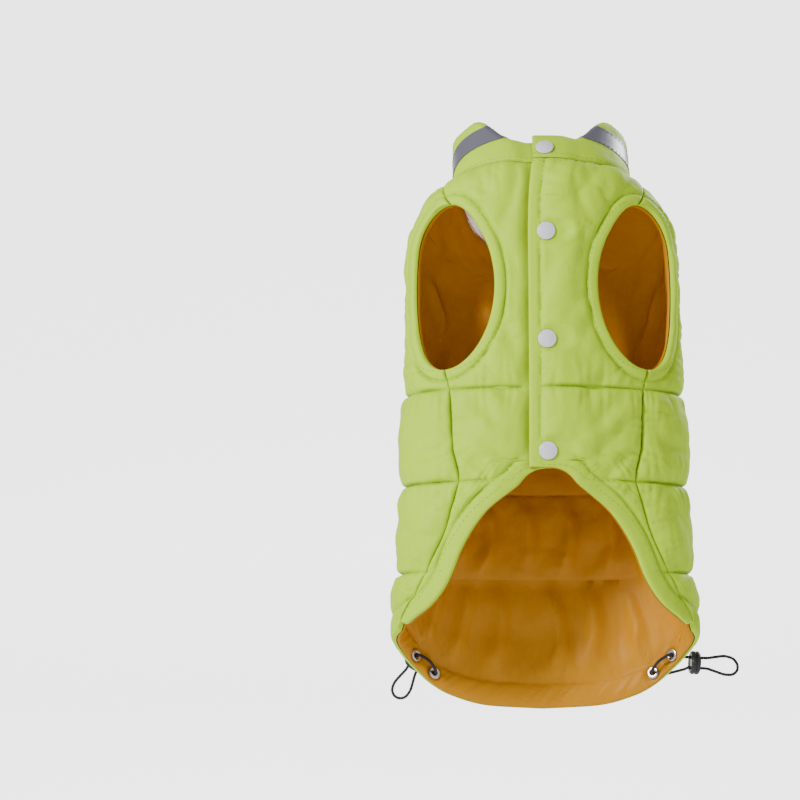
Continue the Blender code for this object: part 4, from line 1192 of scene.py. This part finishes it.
def sewn(name, lines, finish, long=None):
    """A piece of sewing along the cloth it holds, with the stitch sizes from the settings."""
    own = bpy.context.scene.jacket
    return stitches(name, lines, finish, (own.stitch_length if long is None else long) / MM,
                    own.stitch_gap / MM, own.thread / MM)


class JACKET_OT_back(bpy.types.Operator):
    """Quilted back with its sewing, slit welt and lining"""

    bl_idname = "jacket.back"
    bl_label = "Back"

    def execute(self, context):
        LOOKS.update(materials())
        turns, heights = back_grid()
        lift = back_lift(turns, heights)
        piece, outside = shell("back_panel", turns, heights, None, lift, LOOKS["shell"])
        finished(piece)
        BACK.update(outside=outside, turns=turns, heights=heights, lift=lift)
        lines = [along_row(outside, turns, heights, line) for line in (LINE_1, LINE_2, LINE_3)]
        casing = heights - edge_height(folded_turn(turns)) - CASING
        lines.append(along_row(outside, turns, casing, 0.0))
        lines.append(beside(outside, turns, heights, 0, True, NECK_STITCH))
        for flip in (False, True):
            upper = slice(ARMHOLE_START, ARMHOLE_START + ARMHOLE_STEPS)
            lines.append(beside(outside[upper], turns[upper], heights[upper], 1, flip, FACING))
        added(sewn("sewing_back", lines, LOOKS["lime_thread"]))
        for lip in slit_lips(LOOKS["shell"]):
            added(lip)
        inner = lining("back_lining", turns, heights, None, LOOKS["lining"])
        sheet(inner, flat_size(form(turns, heights)))
        return {"FINISHED"}


class JACKET_OT_fronts(bpy.types.Operator):
    """The two fronts, which overlap at the placket, with sewing and linings"""

    bl_idname = "jacket.fronts"
    bl_label = "Fronts"

    @staticmethod
    def across(outside, turns, heights, level):
        """A quilting line, from the arch or placket facing out to the side seam."""
        points, outward = along_row(outside, turns, heights, level)
        run = line_run(points)
        return points[run > FACING], outward[run > FACING]

    def execute(self, context):
        for side, sign in SIDES.items():
            turns, heights = front_grid(sign)
            over = sign > 0
            lift = front_lift(turns, heights, sign)
            piece, outside = shell(f"front_{side}_panel", turns, heights, over, lift,
                                   LOOKS["shell"])
            finished(piece)
            low = ARMHOLE_START - CORNER_ROWS
            upper = slice(low, low + ARMHOLE_STEPS)
            lines = [self.across(outside, turns, heights, line)
                     for line in (LINE_1, LINE_2, LINE_3)]
            arch = heights[:, 0] < ARCH_TOP - 8
            lines += [beside(outside[arch], turns[arch], heights[arch], 1, False, ARCH_FACING),
                      beside(outside[~arch], turns[~arch], heights[~arch], 1, False, FACING),
                      beside(outside[upper], turns[upper], heights[upper], 1, True, FACING),
                      beside(outside, turns, heights, 0, True, NECK_STITCH)]
            added(sewn(f"sewing_front_{side}", lines, LOOKS["lime_thread"]))
            inner = lining(f"front_{side}_lining", turns, heights, over, LOOKS["lining"])
            sheet(inner, flat_size(form(turns, heights)))
        return {"FINISHED"}


class JACKET_OT_collar(bpy.types.Operator):
    """Padded collar, its lining and a reflective strip on each face"""

    bl_idname = "jacket.collar"
    bl_label = "Collar"

    def execute(self, context):
        band, inner, strips, (turn, level, outside) = collar_pieces(
            LOOKS["shell"], LOOKS["lining"], LOOKS["tape"])
        finished(band)
        sheet(inner, flat_size(collar_form(turn, level, 0)))
        for (strip, size), under in zip(strips, ("collar", "collar_lining")):
            sheet(strip, size)
        seam, rows = [], outside.shape[0]
        for row in (2, rows - 4):
            line = outside[row]
            outward = unit(collar_form(turn[row], level[row], 2.0)
                           - collar_form(turn[row], level[row], 0.0))
            seam.append((line, outward))
        added(sewn("sewing_collar", seam, LOOKS["lime_thread"]))
        lines = []
        for strip, flip in zip(strips, (1, -1)):
            keep = (turn[0] > 3) & (turn[0] < 355) if flip > 0 else (
                (turn[0] > 15) & (turn[0] < 357))
            t = turn[0][keep]
            for edge in (STRIP_LOW + 1.4, STRIP_HIGH - 1.4):
                level_at = np.full_like(t, edge)
                off = (COLLAR_EDGE + collar_lift(t, level_at) + 0.5 if flip > 0
                       else -0.5 + 0 * t)
                line = collar_form(t, level_at, off)
                lines.append((line, flip * unit(collar_form(t, level_at, off + 1) - line)))
        added(sewn("sewing_strips", lines, LOOKS["grey_thread"]))
        return {"FINISHED"}


class JACKET_OT_trims(bpy.types.Operator):
    """Snap caps, label and eyelets"""

    bl_idname = "jacket.trims"
    bl_label = "Trims"

    def execute(self, context):
        places = {number: (on_form(0.0, height, SHELL_EDGE + OVERLAP_SHIFT),
                           form_outward(0.0, height))
                  for number, height in enumerate(SNAP_HEIGHTS, 2)}
        level = seam_level(0.0) + COLLAR_SNAP_RISE
        point = collar_form(0.0, level, COLLAR_EDGE)
        places[1] = (point, unit(collar_form(0.0, level, COLLAR_EDGE + 1) - point))
        for number, (point, outward) in places.items():
            finished(snap(f"snap_cap_{number}", point, outward, LOOKS["snap"]))
        piece, face, turn, height = label(LOOKS["label"])
        cut = (LABEL_WIDTH * MM, LABEL_HEIGHT * MM, LABEL_WIDTH * LABEL_HEIGHT * MM**2)
        sheet(piece, cut)
        edge = []
        for row in (1, -2):
            edge.append((face[row, 1:-1], form_outward(turn[row, 1:-1], height[row, 1:-1])))
        for column in (1, -2):
            edge.append((face[1:-1, column], form_outward(turn[1:-1, column],
                                                           height[1:-1, column])))
        added(sewn("sewing_label", edge, LOOKS["label_thread"]))
        for side in SIDES:
            for eyelet in EYELETS:
                ring = eyelet_solid(side, eyelet, LOOKS["metal"])
                finished(ring)
        return {"FINISHED"}


class JACKET_OT_cords(bpy.types.Operator):
    """Drawcords through the eyelets, with a cord lock on each"""

    bl_idname = "jacket.cords"
    bl_label = "Drawcords"

    def execute(self, context):
        for side in SIDES:
            lock = lock_solid(side, LOOKS["plastic"])
            finished(lock)
            for kind, route, pieces in (("loop", loop_route(side), (lock,)),
                                        ("bridge", bridge_route(side), ())):
                points = spline(route, CORD_POINTS[kind])
                line = tube(f"cord_{kind}_{side}", points, CORD_RADIUS, LOOKS["cord"], 4)
                finished(line)
        return {"FINISHED"}


# ---------------------------------------------------------------- the stage, in metres

CAMERA, CAMERA_AIM = (-0.1005, -1.8465, -0.384), (-0.1005, 0, -0.108)
LENS, SENSOR = 120, 36  # mm
WORLD_LIGHT, BACKDROP_LIGHT, PALE = 0.33, 2.6, (0.95, 0.95, 0.95)
LAMP_AIM = (0, 0, -0.13)
Lamp = namedtuple("Lamp", "name place size power")
LAMPS = (Lamp("key", (-1.15, -1.0, 0.55), 0.35, 29), Lamp("fill", (1.3, -1.2, 0.1), 1.2, 3),
         Lamp("rear", (0.95, 0.95, 0.8), 0.35, 17))
Screen = namedtuple("Screen", "name sides rows")  # x of both sides, and (y, z) of each row
FLOOR = Screen("floor", (-4.0, 4.0), ((-3.2, -0.44), (4.0, -0.44)))
BACKDROP = Screen("backdrop", (-1.45, 1.25), (
    (2.3, -0.438), (2.9, -0.38), (3.3, -0.2), (3.45, 0.1), (3.5, 1.8)))


def aimed(obj, place, aim):
    """Links a lamp or camera that stands at a place and looks at another."""
    bpy.context.scene.collection.objects.link(obj)
    obj.location = place
    obj.rotation_euler = (Vector(aim) - Vector(place)).to_track_quat("-Z", "Y").to_euler()


class JACKET_OT_stage(bpy.types.Operator):
    """Sets the pale backdrop, the lights and the camera"""

    bl_idname = "jacket.stage"
    bl_label = "Stage"

    def execute(self, context):
        finish = shade("backdrop", PALE, 0.9)
        bright = shade("bright_backdrop", PALE, 0.9, Emission_Color=(1, 1, 1, 1),
                       Emission_Strength=BACKDROP_LIGHT)
        for screen, look in ((FLOOR, finish), (BACKDROP, bright)):
            points = [(x, y, z) for y, z in screen.rows for x in screen.sides]
            faces = [(2 * k, 2 * k + 1, 2 * k + 3, 2 * k + 2)
                     for k in range(len(screen.rows) - 1)]
            mesh = bpy.data.meshes.new(screen.name)
            mesh.from_pydata(points, [], faces)
            mesh.materials.append(look)
            mesh.shade_smooth()
            linked(screen.name, mesh)
        world = bpy.data.worlds.new("studio")
        world.use_nodes = True
        light = world.node_tree.nodes["Background"].inputs
        light["Color"].default_value = (1, 1, 1, 1)
        light["Strength"].default_value = WORLD_LIGHT
        context.scene.world = world
        for lamp in LAMPS:
            light = bpy.data.lights.new(lamp.name, "AREA")
            light.size, light.energy = lamp.size, lamp.power
            aimed(bpy.data.objects.new(lamp.name, light), lamp.place, LAMP_AIM)
        lens = bpy.data.cameras.new("front")
        lens.lens, lens.sensor_width = LENS, SENSOR
        camera = bpy.data.objects.new("front", lens)
        aimed(camera, CAMERA, CAMERA_AIM)
        context.scene.camera = camera
        return {"FINISHED"}


class JACKET_PT_panel(bpy.types.Panel):
    """Buttons that build the jacket piece by piece"""

    bl_idname = "JACKET_PT_panel"
    bl_label = "Padded dog jacket"
    bl_space_type = "VIEW_3D"
    bl_region_type = "UI"
    bl_category = "Jacket"

    def draw(self, context):
        for key in ("shell_colour", "lining_colour", "stitch_length", "stitch_gap", "thread"):
            self.layout.prop(context.scene.jacket, key)
        for kind in OPERATORS:
            self.layout.operator(kind.bl_idname)


OPERATORS = (JACKET_OT_back, JACKET_OT_fronts, JACKET_OT_collar, JACKET_OT_trims,
             JACKET_OT_cords, JACKET_OT_stage)
CLASSES = (JacketSettings, *OPERATORS, JACKET_PT_panel)


def register():
    for kind in CLASSES:
        bpy.utils.register_class(kind)
    bpy.types.Scene.jacket = bpy.props.PointerProperty(type=JacketSettings)


def unregister():
    del bpy.types.Scene.jacket
    for kind in reversed(CLASSES):
        bpy.utils.unregister_class(kind)


def main():
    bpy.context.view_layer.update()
    register()
    for kind in OPERATORS:
        area, action = kind.bl_idname.split(".")
        if getattr(getattr(bpy.ops, area), action)() != {"FINISHED"}:
            raise RuntimeError(kind.bl_idname)


if __name__ == "__main__":
    main()
